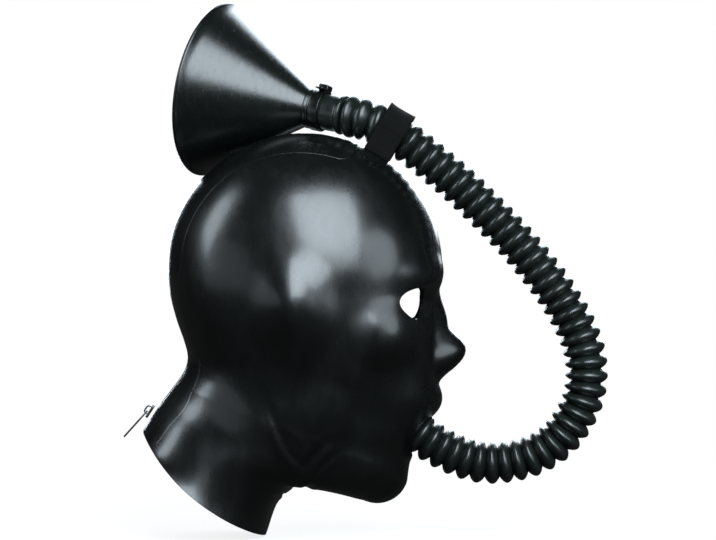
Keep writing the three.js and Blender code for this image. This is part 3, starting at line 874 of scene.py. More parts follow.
@dataclass
class Fold:
    """A crease or tuck in the latex, drawn in the side plane."""

    line: tuple[tuple[float, float], ...]
    width: float
    depth: float
    side: tuple[float, float] = (8.0, 200.0)
    fade: float = 10.0

    def height(self, points: np.ndarray) -> np.ndarray:
        """How far the fold moves each point along its normal.

        Args:
            points: Points of the hood in millimetres.

        Returns:
            Moves in millimetres, with a soft ridge on each side of the valley.
        """
        flat = np.stack([-points[:, 1], points[:, 2]], axis=1)
        nodes = np.array(self.line)
        nearest = np.full(len(flat), 1e9)
        run = np.zeros(len(flat))
        lengths = np.linalg.norm(np.diff(nodes, axis=0), axis=1)
        total = lengths.sum()
        done = 0.0
        for start, end, length in zip(nodes[:-1], nodes[1:], lengths):
            share = np.clip(((flat - start) @ (end - start)) / length**2, 0, 1)
            apart = np.linalg.norm(flat - (start + share[:, None] * (end - start)), axis=1)
            closer = apart < nearest
            nearest = np.where(closer, apart, nearest)
            run = np.where(closer, done + share * length, run)
            done += length
        ends = np.clip(np.minimum(run, total - run) / (0.3 * total), 0, 1)
        ends = ends * ends * (3 - 2 * ends)
        across = np.abs(points[:, 0])
        near, far = self.side
        inside = np.clip((across - near) / self.fade, 0, 1) * np.clip((far - across) / self.fade, 0, 1)
        scaled = nearest / self.width
        shape = -np.exp(-(scaled**2)) + 0.55 * np.exp(-((scaled - 1.7) ** 2) / 0.7)
        return self.depth * shape * ends * inside


@dataclass
class Hood:
    """The latex hood with its eye holes, mouth hole, centre panel and edges."""

    form: HeadForm
    mouth: np.ndarray
    mouth_radius: float = 15.85
    mouth_reach: tuple[float, float] = (30.0, 36.0)
    wall: float = 1.3
    panel_half: float = 43.0
    waist_half: float = 33.0
    waist: tuple[float, float] = (215.0, 62.0)
    panel_reach: float = 39.0
    panel_corner: float = 12.0
    panel_wall: float = 1.0
    slot_half: float = 8.8
    zip_top: float = -33.0
    slit_half: float = 3.0
    slit_room: float = 1.0
    slit_front: float = 55.0
    slit_depth: float = 300.0
    past_hem: float = 400.0
    eye_spacing: float = 64.0
    eye_size: tuple[float, float] = (34.0, 22.0)
    eye_drop: float = 121.0
    eye_turn: float = 14.0
    relax_from: float = 12.5
    relax_steps: int = 130
    around: int = 232
    down: int = 196
    folds: tuple[Fold, ...] = (
        Fold(((20.0, -212.0), (8.0, -226.0), (-3.0, -240.0)), 2.6, 1.1),
        Fold(((-25.0, -184.0), (-17.0, -208.0), (-8.0, -226.0), (6.0, -241.0)), 3.4, 0.85),
        Fold(((-13.0, -192.0), (-9.0, -213.0), (3.0, -233.0)), 2.6, 0.5),
        Fold(((26.0, -222.0), (12.0, -236.0), (2.0, -246.0)), 2.0, 0.7),
        Fold(((10.0, -247.0), (-2.0, -252.0), (-16.0, -250.0)), 1.8, 1.2, (-10.0, 200.0)),
        Fold(((2.0, -254.0), (-10.0, -259.0), (-26.0, -256.0)), 1.6, 1.0, (-10.0, 200.0)),
    )
    outer: np.ndarray = field(init=False)
    inner: np.ndarray = field(init=False)
    tree: BVHTree = field(init=False)

    def __post_init__(self) -> None:
        """Works out both surfaces of the wall and a tree to lay trims on."""
        even = np.arange(self.around) * 2 * math.pi / self.around
        angles = even - 0.42 * np.sin(even)
        stations = np.linspace(0.0, self.form.hem, self.down + 1)[1:]
        angle, station = np.meshgrid(angles, stations)
        points = self._relaxed(self.form.face(angle, station), angle, station)
        for fold in self.folds:
            flat = points.reshape(-1, 3)
            normal = self.normals(points).reshape(-1, 3)
            points = (flat + normal * fold.height(flat)[:, None]).reshape(points.shape)
        normal = self.normals(points)
        self.inner = points
        self.outer = points + normal * self.wall
        vertices, faces = self._skin(self.outer, self.wall, 0, False)
        self.tree = BVHTree.FromPolygons(vertices.tolist(), faces)

    def _relaxed(self, points: np.ndarray, angle: np.ndarray, station: np.ndarray) -> np.ndarray:
        """Lets the latex span the creases at the sides of the neck.

        Args:
            points: Rings of points from the crown to the hem.
            angle: The points' angles.
            station: The points' stations.

        Returns:
            The rings with softer sides below the jaw.
        """
        low = np.clip((station - self.relax_from) / 2.0, 0, 1)
        side = np.clip((np.abs(np.sin(angle)) - 0.25) / 0.4, 0, 1)
        weight = (low * side)[..., None]
        for _ in range(self.relax_steps):
            ring = np.roll(points, 1, axis=1) + np.roll(points, -1, axis=1)
            average = 0.25 * (ring[1:-1] + points[:-2] + points[2:])
            points[1:-1] += weight[1:-1] * (average - points[1:-1])
        return points

    def normals(self, points: np.ndarray) -> np.ndarray:
        """Outward directions of a grid of rings.

        Args:
            points: Rings of points from the crown to the hem.

        Returns:
            Unit vectors of the same shape.
        """
        around = np.roll(points, -1, axis=1) - np.roll(points, 1, axis=1)
        down = np.gradient(points, axis=0)
        crown = np.zeros(3)
        down[0] = points[1] - crown
        normal = np.cross(down, around)
        return normal / np.linalg.norm(normal, axis=-1, keepdims=True)

    def _skin(
        self, grid: np.ndarray, top: float, start: int, flip: bool
    ) -> tuple[np.ndarray, list[list[int]]]:
        """Points and faces of one surface of the wall.

        Args:
            grid: Its rings.
            top: Height of the crown point.
            start: Number of its first point.
            flip: Whether it looks inwards.

        Returns:
            Points and faces.
        """
        rows, columns, _ = grid.shape
        points = np.vstack([[0.0, 0.0, top], grid.reshape(-1, 3)])
        faces = grid_faces(rows, columns, True, start + 1, flip)
        for column in range(columns):
            cap = [start, start + 1 + column, start + 1 + (column + 1) % columns]
            faces.append(cap[::-1] if flip else cap)
        return points, faces

    def build(self, material: bpy.types.Material) -> bpy.types.Object:
        """Builds the shell with its holes.

        Args:
            material: The latex finish.

        Returns:
            The hood's shell.
        """
        outer, faces = self._skin(self.outer, self.wall, 0, False)
        count = len(outer)
        inner, more = self._skin(self.inner, 0.0, count, True)
        rows, columns, _ = self.outer.shape
        last = 1 + (rows - 1) * columns
        for column in range(columns):
            after = (column + 1) % columns
            faces.append([last + column, count + last + column, count + last + after, last + after])
        shell = mesh_piece("hood_latex", np.vstack([outer, inner]), faces + more, material)
        for cutter in self._cutters():
            modifier = shell.modifiers.new("hole", "BOOLEAN")
            modifier.operation = "DIFFERENCE"
            modifier.solver = "EXACT"
            modifier.object = cutter
        bake_modifiers(shell, 40.0)
        for cutter in [obj for obj in bpy.data.objects if obj.name.startswith("cut_")]:
            bpy.data.objects.remove(cutter)
        set_piece(shell, Slot.LATEX, nodes=["hood_shell"])
        return shell

    def _circle(self, sides: int) -> np.ndarray:
        """A unit circle of points across the Y axis."""
        turns = np.linspace(0, 2 * math.pi, sides, endpoint=False)
        return np.stack([np.cos(turns), np.zeros(sides), np.sin(turns)], axis=1)

    def _cutters(self) -> list[bpy.types.Object]:
        """Solids that cut the eye holes, the mouth hole and the zip's slit."""
        blank = bpy.data.materials.new("cut")
        cutters = []
        wide, tall = self.eye_size
        ring = self._circle(64) * np.array([wide / 2, 1.0, tall / 2])
        for side in (-1, 1):
            turn = math.radians(side * self.eye_turn)
            cosine, sine = math.cos(turn), math.sin(turn)
            spin = np.array([[cosine, -sine, 0], [sine, cosine, 0], [0, 0, 1]])
            offset = np.array([side * self.eye_spacing / 2, -self.form.length / 4, -self.eye_drop])
            sweep = np.array([0, -self.form.length / 2, 0])
            cutters.append(self._prism(f"cut_eye_{side}", ring, sweep, spin, offset, blank))
        top, foot = self.zip_top + self.slit_room, -self.past_hem
        slit = np.array([[-1, 0, foot], [1, 0, foot], [1, 0, top], [-1, 0, top]])
        slit[:, 0] *= self.slit_half
        sweep = np.array([0, self.slit_depth, 0])
        offset = np.array([0, self.slit_front, 0])
        cutters.append(self._prism("cut_slit", slit, sweep, np.eye(3), offset, blank))
        ring = self.mouth_radius * self._circle(72)
        spin = self.mouth[:3, :3]
        offset = self.mouth[:3, 3] - self.mouth_reach[0] * self.mouth[:3, 1]
        sweep = np.array([0, sum(self.mouth_reach), 0])
        cutters.append(self._prism("cut_mouth", ring, sweep, spin, offset, blank))
        return cutters

    def _prism(
        self,
        name: str,
        ring: np.ndarray,
        sweep: np.ndarray,
        spin: np.ndarray,
        offset: np.ndarray,
        material: bpy.types.Material,
    ) -> bpy.types.Object:
        """A solid that a ring sweeps along a line.

        Args:
            name: The object's name.
            ring: The ring's points.
            sweep: How far it is swept.
            spin: A 3 by 3 turn.
            offset: Where its origin goes.
            material: Any material.

        Returns:
            The solid.
        """
        points = np.vstack([ring, ring + sweep]) @ spin.T + offset
        count = len(ring)
        faces = [[k, (k + 1) % count, count + (k + 1) % count, count + k] for k in range(count)]
        faces += [list(range(count))[::-1], [count + k for k in range(count)]]
        obj = mesh_piece(name, points, faces, material)
        face_outwards(obj)
        obj.hide_render = True
        return obj


# Hose


@dataclass
class Hose:
    """The corrugated hose on its route, in millimetres."""

    form: HeadForm
    diameter: float = 30.5
    valley: float = 20.6
    bore: float = 18.8
    pitch: float = 9.4
    steps_a_rib: int = 14
    sides: int = 56
    route: tuple[tuple[float, float, float], ...] = (
        (0, 0.7385, 0.7908), (0, 0.9231, 0.8405), (-0.013, 1.1149, 0.8785),
        (-0.026, 1.3067, 0.8985), (-0.046, 1.4995, 0.8958), (-0.065, 1.6841, 0.8767),
        (-0.078, 1.8462, 0.8397), (-0.092, 1.9641, 0.7859), (-0.105, 2.0451, 0.7229),
        (-0.111, 2.0718, 0.6527), (-0.111, 2.041, 0.5725), (-0.105, 1.8903, 0.4561),
        (-0.092, 1.5885, 0.3075), (-0.076, 1.2482, 0.1765), (-0.065, 1.0154, 0.098),
        (-0.061, 0.6359, -0.0103), (-0.055, 0.4513, -0.0405), (0.024, 0.3026, -0.0535),
    )
    centre: np.ndarray = field(init=False)

    def __post_init__(self) -> None:
        """Works out the centre line at even steps."""
        dense = self._dense(60)
        lengths = np.concatenate([[0.0], np.cumsum(np.linalg.norm(np.diff(dense, axis=0), axis=1))])
        self.length = float(lengths[-1])
        self.ribs = round(self.length / self.pitch)
        stations = np.linspace(0.0, self.length, self.ribs * self.steps_a_rib + 1)
        self.centre = np.stack([np.interp(stations, lengths, dense[:, k]) for k in range(3)], axis=1)

    def _dense(self, steps: int) -> np.ndarray:
        """Points of the smooth curve through the route.

        Args:
            steps: Points a stretch.

        Returns:
            Points in millimetres.
        """
        scale = np.array([self.form.breadth / 2, -self.form.length / 2, -self.form.height])
        knots = np.array(self.route) * scale
        knots = np.vstack([2 * knots[0] - knots[1], knots, 2 * knots[-1] - knots[-2]])
        found = []
        for index in range(1, len(knots) - 2):
            first, start, end, last = knots[index - 1:index + 3]
            gaps = [np.linalg.norm(b - a) ** 0.5 for a, b in ((first, start), (start, end), (end, last))]
            leave = (start - first) / gaps[0] - (end - first) / (gaps[0] + gaps[1]) + (end - start) / gaps[1]
            reach = (end - start) / gaps[1] - (last - start) / (gaps[1] + gaps[2]) + (last - end) / gaps[2]
            leave, reach = leave * gaps[1], reach * gaps[1]
            for share in np.linspace(0, 1, steps, endpoint=False):
                found.append(
                    start + leave * share
                    + (-3 * start + 3 * end - 2 * leave - reach) * share**2
                    + (2 * start - 2 * end + leave + reach) * share**3
                )
        found.append(knots[-2])
        return np.array(found)

    def radius(self, station: np.ndarray) -> np.ndarray:
        """Outside radius along the hose: rounded crests and narrow valleys.

        Args:
            station: Ribs from the start.

        Returns:
            Radii in millimetres.
        """
        crest, valley = self.diameter / 2, self.valley / 2
        wave = np.abs(np.sin(math.pi * station))
        return valley + (crest - valley) * wave**0.88

    def frames(self) -> tuple[np.ndarray, np.ndarray]:
        """Two directions across the hose at each step, turned as little as can be."""
        tangent = np.gradient(self.centre, axis=0)
        tangent /= np.linalg.norm(tangent, axis=1, keepdims=True)
        side = np.array([1.0, 0.0, 0.0])
        sides = []
        for along in tangent:
            side = side - along * (side @ along)
            side /= np.linalg.norm(side)
            sides.append(side)
        sides = np.array(sides)
        return sides, np.cross(tangent, sides)

    def build(self, material: bpy.types.Material) -> bpy.types.Object:
        """Args:
            material: The rubber finish.

        Returns:
            The hose.
        """
        sides, ups = self.frames()
        count = len(self.centre)
        turns = np.linspace(0, 2 * math.pi, self.sides, endpoint=False)
        level, upright = np.cos(turns)[None, :, None], np.sin(turns)[None, :, None]
        ring = level * sides[:, None, :] + upright * ups[:, None, :]
        radius = self.radius(np.arange(count) / self.steps_a_rib)
        outer = self.centre[:, None, :] + ring * radius[:, None, None]
        bore = self.centre[[0, -1], None, :] + ring[[0, -1]] * self.bore / 2
        points = np.concatenate([bore[:1], outer, bore[1:]]).reshape(-1, 3)
        faces = grid_faces(count + 2, self.sides, True, flip=True)
        hose = mesh_piece("hose_ribbed", points, faces, material, 50.0)
        set_piece(hose, Slot.HOSE, nodes=["hose"])
        return hose


# Trims laid on the hood


@dataclass
class Surface:
    """Lays sheets on the hood by looking straight down on it."""

    hood: Hood
    form: HeadForm
    drop_height: float = 30.0
    to_hem: float = 900.0

    def middle_line(self, start: float, end: float, step: float) -> tuple[np.ndarray, np.ndarray, np.ndarray]:
        """Even points of the line over the middle of the hood, from the face over the crown to the hem.

        Args:
            start: Distance from the crown where it starts, negative on the face side.
            end: Distance from the crown where it ends.
            step: Distance between points.

        Returns:
            Points, outward directions and distances from the crown.
        """
        stations = np.linspace(0.0, self.form.hem, 1400)[1:]
        front = self.form.face(np.full(1399, End.FRONT.value), stations)[:500][::-1]
        back = self.form.face(np.full(1399, End.BACK.value), stations)
        line = np.vstack([front, [[0.0, 0.0, 0.0]], back])
        run = np.concatenate([[0.0], np.cumsum(np.linalg.norm(np.diff(line, axis=0), axis=1))])
        run -= run[len(front)]
        last = run[-1] if end > run[-1] else end
        places = np.linspace(start, last, int((last - start) / step) + 1)
        points = np.stack([np.interp(places, run, line[:, k]) for k in range(3)], axis=1)
        along = np.gradient(points, axis=0)
        along /= np.linalg.norm(along, axis=1, keepdims=True)
        return points, np.cross(along, [1.0, 0.0, 0.0]), places

    def drop(self, starts: np.ndarray, directions: np.ndarray) -> tuple[np.ndarray, np.ndarray]:
        """Finds where a grid of straight lines meets the hood.

        Args:
            starts: Where the lines start, as a grid of points.
            directions: Their directions, as a grid.

        Returns:
            The points on the hood and its outward directions there.
        """
        shape = starts.shape
        reach = np.full(shape[:2], np.nan)
        normals = np.zeros(shape)
        for row in range(shape[0]):
            for column in range(shape[1]):
                way = Vector(directions[row, column])
                hit, normal, _, distance = self.hood.tree.ray_cast(Vector(starts[row, column]), way)
                if hit is not None:
                    reach[row, column] = distance
                    normals[row, column] = normal if normal.dot(way) < 0 else -normal
        for row in range(1, shape[0]):
            gone = np.isnan(reach[row])
            reach[row, gone] = 2 * reach[row - 1, gone] - reach[row - 2, gone]
            normals[row, gone] = normals[row - 1, gone]
        for _ in range(3):
            reach[1:-1] = 0.25 * reach[:-2] + 0.5 * reach[1:-1] + 0.25 * reach[2:]
            reach[:, 1:-1] = 0.25 * reach[:, :-2] + 0.5 * reach[:, 1:-1] + 0.25 * reach[:, 2:]
            normals[1:-1] = 0.25 * normals[:-2] + 0.5 * normals[1:-1] + 0.25 * normals[2:]
            normals[:, 1:-1] = 0.25 * normals[:, :-2] + 0.5 * normals[:, 1:-1] + 0.25 * normals[:, 2:]
        normals /= np.linalg.norm(normals, axis=2, keepdims=True)
        return starts + directions * reach[..., None], normals

    def ribbon(
        self, start: float, end: float, columns: Callable[[float], np.ndarray], step: float
    ) -> tuple[np.ndarray, np.ndarray, np.ndarray]:
        """A grid across and along the middle line, laid on the hood.

        Args:
            start: Distance from the crown where it starts.
            end: Distance from the crown where it ends.
            columns: Places across, in millimetres, at a distance from the crown.
            step: Distance between its rows.

        Returns:
            The points, the outward directions and the distances of the rows.
        """
        line, up, places = self.middle_line(start, end, step)
        across = np.array([columns(place) for place in places])
        above = line[:, None, :] + up[:, None, :] * self.drop_height
        starts = above + across[..., None] * np.array([1.0, 0.0, 0.0])
        directions = np.broadcast_to(-up[:, None, :], starts.shape).copy()
        points, normals = self.drop(starts, directions)
        return points, normals, places

    def sheet(
        self,
        name: str,
        points: np.ndarray,
        normals: np.ndarray,
        keep: np.ndarray,
        lift: tuple[float, float],
        material: bpy.types.Material,
    ) -> bpy.types.Object:
        """A sheet of even thickness on a laid grid.

        Args:
            name: The piece's name.
            points: The laid grid.
            normals: Its outward directions.
            keep: Which of the grid's cells the sheet fills.
            lift: Heights of its underside and its top above the hood.
            material: The finish.

        Returns:
            The sheet.
        """
        rows, columns, _ = points.shape
        count = rows * columns
        top = (points + normals * lift[1]).reshape(-1, 3)
        under = (points + normals * lift[0]).reshape(-1, 3)
        faces: list[list[int]] = []
        edges: dict[tuple[int, int], bool] = {}  # a dict keeps the order of the edges
        for row, column in zip(*np.nonzero(keep)):
            first = int(row) * columns + int(column)
            face = [first, first + 1, first + columns + 1, first + columns]
            faces.append(face)
            faces.append([count + corner for corner in face[::-1]])
            for here, there in zip(face, face[1:] + face[:1]):
                edges[(here, there)] = True
        for here, there in edges:
            if (there, here) not in edges:
                faces.append([there, here, count + here, count + there])
        obj = mesh_piece(name, np.vstack([top, under]), faces, material, 50.0)
        face_outwards(obj, True)
        return obj


@dataclass
class Panel:
    """The centre panel over the crown, with a leg down each side of the zip."""

    surface: Surface
    thickness: float = 1.25
    step: float = 1.6

    def build(self, material: bpy.types.Material) -> bpy.types.Object:
        """Builds the panel.

        Args:
            material: The latex finish of the panel.

        Returns:
            The panel.
        """
        hood = self.surface.hood
        line, _, places = self.surface.middle_line(-90.0, 400.0, 0.5)
        start = float(np.interp(hood.panel_reach, -line[:260, 1][::-1], places[:260][::-1]))
        corner = hood.panel_corner
        waist_middle, waist_reach = hood.waist

        def columns(place: float) -> np.ndarray:
            """Places across, with rounded front corners and a waist at the nape."""
            narrowing = math.exp(-(((place - waist_middle) / waist_reach) ** 2))
            waist = (hood.panel_half - hood.waist_half) * narrowing
            gap = max(corner - (place - start), 0.0)
            half = hood.panel_half - waist - corner + math.sqrt(max(corner**2 - gap**2, 0.0))
            leg = np.linspace(hood.slot_half, half, 21)
            return np.concatenate([-leg[::-1], [-3.0, 3.0], leg])

        points, normals, _ = self.surface.ribbon(start, self.surface.to_hem, columns, self.step)
        middle = (points[:-1, :-1] + points[1:, 1:]) / 2
        behind = (middle[..., 2] < hood.zip_top) & (middle[..., 1] > 0)
        slot = behind & (np.abs(middle[..., 0]) < hood.slot_half - 0.1)
        piece = self.surface.sheet("crown_panel", points, normals, ~slot, (-0.12, self.thickness), material)
        bevel(piece, 0.5)
        bake_modifiers(piece, 50.0)
        set_piece(piece, Slot.LATEX, nodes=["crown_strip"])
        return piece


@dataclass
class Zip:
    """The closed zip at the back: tapes, teeth, slider and pull."""

    surface: Surface
    tape: tuple[float, float] = (2.8, 8.5)
    pitch: float = 1.3
    tooth: tuple[float, float, float] = (1.7, 0.95, 1.05)
    tooth_head: float = 0.78
    tooth_slim: float = 0.62
    tooth_rise: float = 2.75
    tooth_shift: float = 0.95
    step: float = 1.6
    slider_size: tuple[float, float, float] = (4.6, 11.0, 1.7)
    slider_axes: tuple[tuple[float, float, float], ...] = (
        (-1.0, 0.0, 0.0), (0.0, -0.5441, 0.839), (0.0, 0.839, 0.5441), (0.0, 110.598, -199.226),
    )
    bridge_half: float = 1.05
    bridge_outside: tuple[tuple[float, float], ...] = (
        (-3.5, 1.3), (-3.3, 3.6), (-2.5, 5.0), (-0.8, 5.3), (1.6, 5.15), (3.0, 4.4), (3.5, 2.8), (3.6, 1.3),
    )
    bridge_inside: tuple[tuple[float, float], ...] = (
        (-2.4, 1.3), (-2.35, 3.2), (-1.9, 4.0), (-0.6, 4.15), (1.4, 4.0), (2.2, 3.5), (2.45, 2.5), (2.5, 1.3),
    )
    slider_outline: tuple[tuple[float, float], ...] = (
        (0.72, -0.5), (0.78, -0.25), (0.82, 0.0), (0.94, 0.16),
        (1.0, 0.32), (0.93, 0.43), (0.7, 0.49), (0.4, 0.5),
    )

    def _start(self) -> float:
        """Distance from the crown to the zip's upper end."""
        line, _, places = self.surface.middle_line(0.0, 400.0, 0.5)
        return float(np.interp(-self.surface.hood.zip_top, -line[:, 2], places))

    def tapes(self, material: bpy.types.Material) -> list[bpy.types.Object]:
        """Builds both woven tapes.

        Args:
            material: The tape's finish.

        Returns:
            The tapes.
        """
        pieces = []
        for side, node in ((1, "zip_tape_left"), (-1, "zip_tape_right")):
            columns = np.sort(side * np.linspace(self.tape[0], self.tape[1], 6))
            points, normals, places = self.surface.ribbon(
                self._start(), self.surface.to_hem, lambda place: columns, self.step
            )
            keep = np.ones((len(points) - 1, 5), bool)
            piece = self.surface.sheet(f"{node}_woven", points, normals, keep, (-0.1, 0.85), material)
            across = np.broadcast_to(columns[None, :], points.shape[:2])
            along = np.broadcast_to(places[:, None], points.shape[:2])
            weave = np.stack([across, along, np.zeros(across.shape)], axis=-1).reshape(-1, 3) * MM
            carry(piece, "weave", np.vstack([weave, weave]))
            bevel(piece, 0.2, 2)
            bake_modifiers(piece, 50.0)
            set_piece(piece, Slot.TAPE, nodes=[node])
            pieces.append(piece)
        return pieces

    def teeth(self, material: bpy.types.Material) -> bpy.types.Object:
        """Builds the closed chain, one tooth at a time from alternate sides.

        Args:
            material: The metal finish.

        Returns:
            The chain.
        """
        line, up, _ = self.surface.middle_line(self._start(), self.surface.to_hem, self.pitch)
        along = np.gradient(line, axis=0)
        along /= np.linalg.norm(along, axis=1, keepdims=True)
        block = bmesh.new()
        bmesh.ops.create_cube(block, size=1.0)
        wide, long, high = (2 * size for size in self.tooth)
        for vertex in block.verts:
            head = 1.0 if vertex.co.x < 0 else self.tooth_head
            x, y, z = vertex.co
            vertex.co = Vector((x * wide, y * long * self.tooth_slim * head, z * high * head))
        bmesh.ops.bevel(block, geom=block.edges[:], offset=0.28, segments=2, affect="EDGES", profile=0.6)
        shape = np.array([vertex.co for vertex in block.verts])
        corners = [[vertex.index for vertex in face.verts] for face in block.faces]
        block.free()
        points, faces = [], []
        for index, (middle, rise, run) in enumerate(zip(line, up, along)):
            side = 1 if index % 2 else -1
            axes = np.stack([side * np.array([1.0, 0.0, 0.0]), run * side, rise])
            centre = middle + rise * self.tooth_rise + side * np.array([self.tooth_shift, 0.0, 0.0])
            start = index * len(shape)
            points.append(centre + shape @ axes)
            faces += [[start + corner for corner in face] for face in corners]
        piece = mesh_piece("zip_chain", np.vstack(points), faces, material, 40.0)
        set_piece(piece, Slot.STEEL, nodes=["zip_teeth"])
        return piece

    def slider(self, material: bpy.types.Material) -> bpy.types.Object:
        """Builds the slider with its raised bridge.

        Args:
            material: The metal finish.

        Returns:
            The slider.
        """
        seat = np.eye(4)
        seat[:3, :] = np.array(self.slider_axes).T
        half, length, plate = self.slider_size
        right = [(side * half, along * length) for side, along in self.slider_outline]
        ring = right + [(-side, along) for side, along in reversed(right)]
        count = len(ring)
        points = [(x, y, 0.0) for x, y in ring] + [(x * 0.93, y * 0.95, plate) for x, y in ring]
        faces = [[k, (k + 1) % count, count + (k + 1) % count, count + k] for k in range(count)]
        faces += [list(range(count))[::-1], [count + k for k in range(count)]]
        start = len(points)
        arch, inner = self.bridge_outside, self.bridge_inside
        for x in (-self.bridge_half, self.bridge_half):
            points += [(x, y, z) for y, z in arch] + [(x, y, z) for y, z in inner]
        steps = len(arch)
        for k in range(steps - 1):
            near, far = start, start + 2 * steps
            faces.append([near + k, near + k + 1, near + steps + k + 1, near + steps + k])
            faces.append([far + k + 1, far + k, far + steps + k, far + steps + k + 1])
            faces.append([near + k + 1, near + k, far + k, far + k + 1])
            faces.append([near + steps + k, near + steps + k + 1, far + steps + k + 1, far + steps + k])
        piece = mesh_piece("zip_slider_body", moved(np.array(points), seat), faces, material, 35.0)
        face_outwards(piece)
        bevel(piece, 0.35, 3, 30.0)
        bake_modifiers(piece, 50.0)
        set_piece(piece, Slot.STEEL, nodes=["zip_slider"])
        return piece


# Funnel end


@dataclass
class FunnelEnd:
    """Hose cuff, funnel and clamp on their shared axis, in millimetres."""

    hose: Hose
    clearance: float = 0.3
    cuff_length: float = 19.0
    neck: float = 13.5
    bore: float = 11.0
    neck_length: float = 10.5
    length: float = 88.0
    rim: float = 64.5
    wall: float = 2.0
    clamp_width: float = 7.0

    @property
    def frame(self) -> np.ndarray:
        """The shared axis: its origin is the end of the hose."""
        centre = self.hose.centre
        return axis_frame(centre[-1], centre[-1] - centre[-3])

    def _turned(
        self,
        name: str,
        profile: Sequence[tuple[float, float]],
        height: float,
        material: bpy.types.Material,
        slot: Slot,
        node: str,
        segments: int = 128,
    ) -> bpy.types.Object:
        """Builds a turned piece on the axis.

        Args:
            name: The piece's name.
            profile: Its closed profile.
            height: Where its foot stands on the axis.
            material: The finish.
            slot: The record's slot.
            node: The node that it replaces.
            segments: Steps round the axis.

        Returns:
            The piece.
        """
        points, faces = lathe(profile, segments)
        points[:, 1] += height
        piece = mesh_piece(name, moved(points, self.frame), faces, material, 60.0)
        face_outwards(piece)
        set_piece(piece, slot, nodes=[node])
        return piece

    def cuff(self, material: bpy.types.Material) -> bpy.types.Object:
        """Builds the smooth end of the hose with its rounded lip."""
        profile = [
            (10.0, 0.0), (12.2, 0.0), (14.1, 1.0), (14.4, 2.2), (14.0, 3.4), (13.2, 4.4),
            (13.0, 6.0), (13.25, 10.0), (13.2, 14.0), (12.9, 17.8), (12.2, 18.9), (10.0, 18.9),
        ]
        profile = rounded(profile, 0.9)
        return self._turned("hose_end_cuff", profile, self.clearance, material, Slot.HOSE, "hose_cuff")

    def funnel(self, material: bpy.types.Material) -> bpy.types.Object:
        """Builds the funnel: ringed neck, flared cone and rolled rim."""
        neck, rim, top = self.neck, self.rim, self.length
        outside = [(neck, 0.0), (neck, 5.0)]
        ridge = ((-0.8, 0.5), (-0.4, 0.95), (0.4, 0.95), (0.8, 0.5), (1.15, 0.0))
        for place in (6.2, 9.0):
            outside += [(neck + rise, place + along) for along, rise in ridge]
        start = self.neck_length
        cone = np.linspace(0.02, 0.955, 18)
        for share in cone:
            hollow = share - 0.012 * math.sin(math.pi * share)
            outside.append((float(neck + (rim - neck) * hollow), float(start + (top - start) * share)))
        lip = ((0.9, 2.6), (0.1, 1.9), (0.0, 0.9), (0.5, 0.1), (1.4, 0.0))
        edge = [(rim - inward, top - down) for inward, down in lip]
        inside = [(float(r - self.wall), float(h + 0.5)) for r, h in reversed(outside[-18:])]
        profile = [(self.bore, 0.0), *outside, *edge, *inside[:-1], (self.bore, start + self.wall)]
        height = 2 * self.clearance + self.cuff_length
        return self._turned("funnel_moulded", profile, height, material, Slot.FUNNEL, "funnel", 192)

    def clamp(self, material: bpy.types.Material) -> bpy.types.Object:
        """Builds the clamp: band, lapped tail, screw housing and screw."""
        inner, wide = self.neck + self.clearance, self.clamp_width
        outer = inner + 1.25
        profile = rounded([(inner, 0.0), (outer, 0.0), (outer, wide), (inner, wide)], 0.45)
        points, faces = lathe(profile, 96)
        parts = bmesh.new()
        band = bpy.data.meshes.new("band")
        band.from_pydata(points.tolist(), [], faces)
        parts.from_mesh(band)
        for size, place, round_by in (
            ((9.0, 7.6, 4.6), (0.0, wide / 2, outer + 1.7), 1.2),
            ((13.0, 5.4, 1.1), (-5.2, wide / 2, outer + 0.25), 0.4),
            ((4.2, 4.6, 4.4), (5.6, wide / 2, outer + 2.0), 1.6),
        ):
            made = bmesh.ops.create_cube(parts, size=1.0)["verts"]
            for vertex in made:
                vertex.co = Vector([c * s + p for c, s, p in zip(vertex.co, size, place)])
            edges = list({edge for vertex in made for edge in vertex.link_edges})
            bmesh.ops.bevel(parts, geom=edges, offset=round_by, segments=3, affect="EDGES", profile=0.6)
        bmesh.ops.recalc_face_normals(parts, faces=parts.faces)
        points = np.array([vertex.co for vertex in parts.verts])
        faces = [[vertex.index for vertex in face.verts] for face in parts.faces]
        parts.free()
        points[:, 1] += 2 * self.clearance + self.cuff_length - 2.5
        piece = mesh_piece("clamp_ring", moved(points, self.frame), faces, material, 40.0)
        set_piece(piece, Slot.HOSE, nodes=["funnel_clamp"])
        return piece


# Band


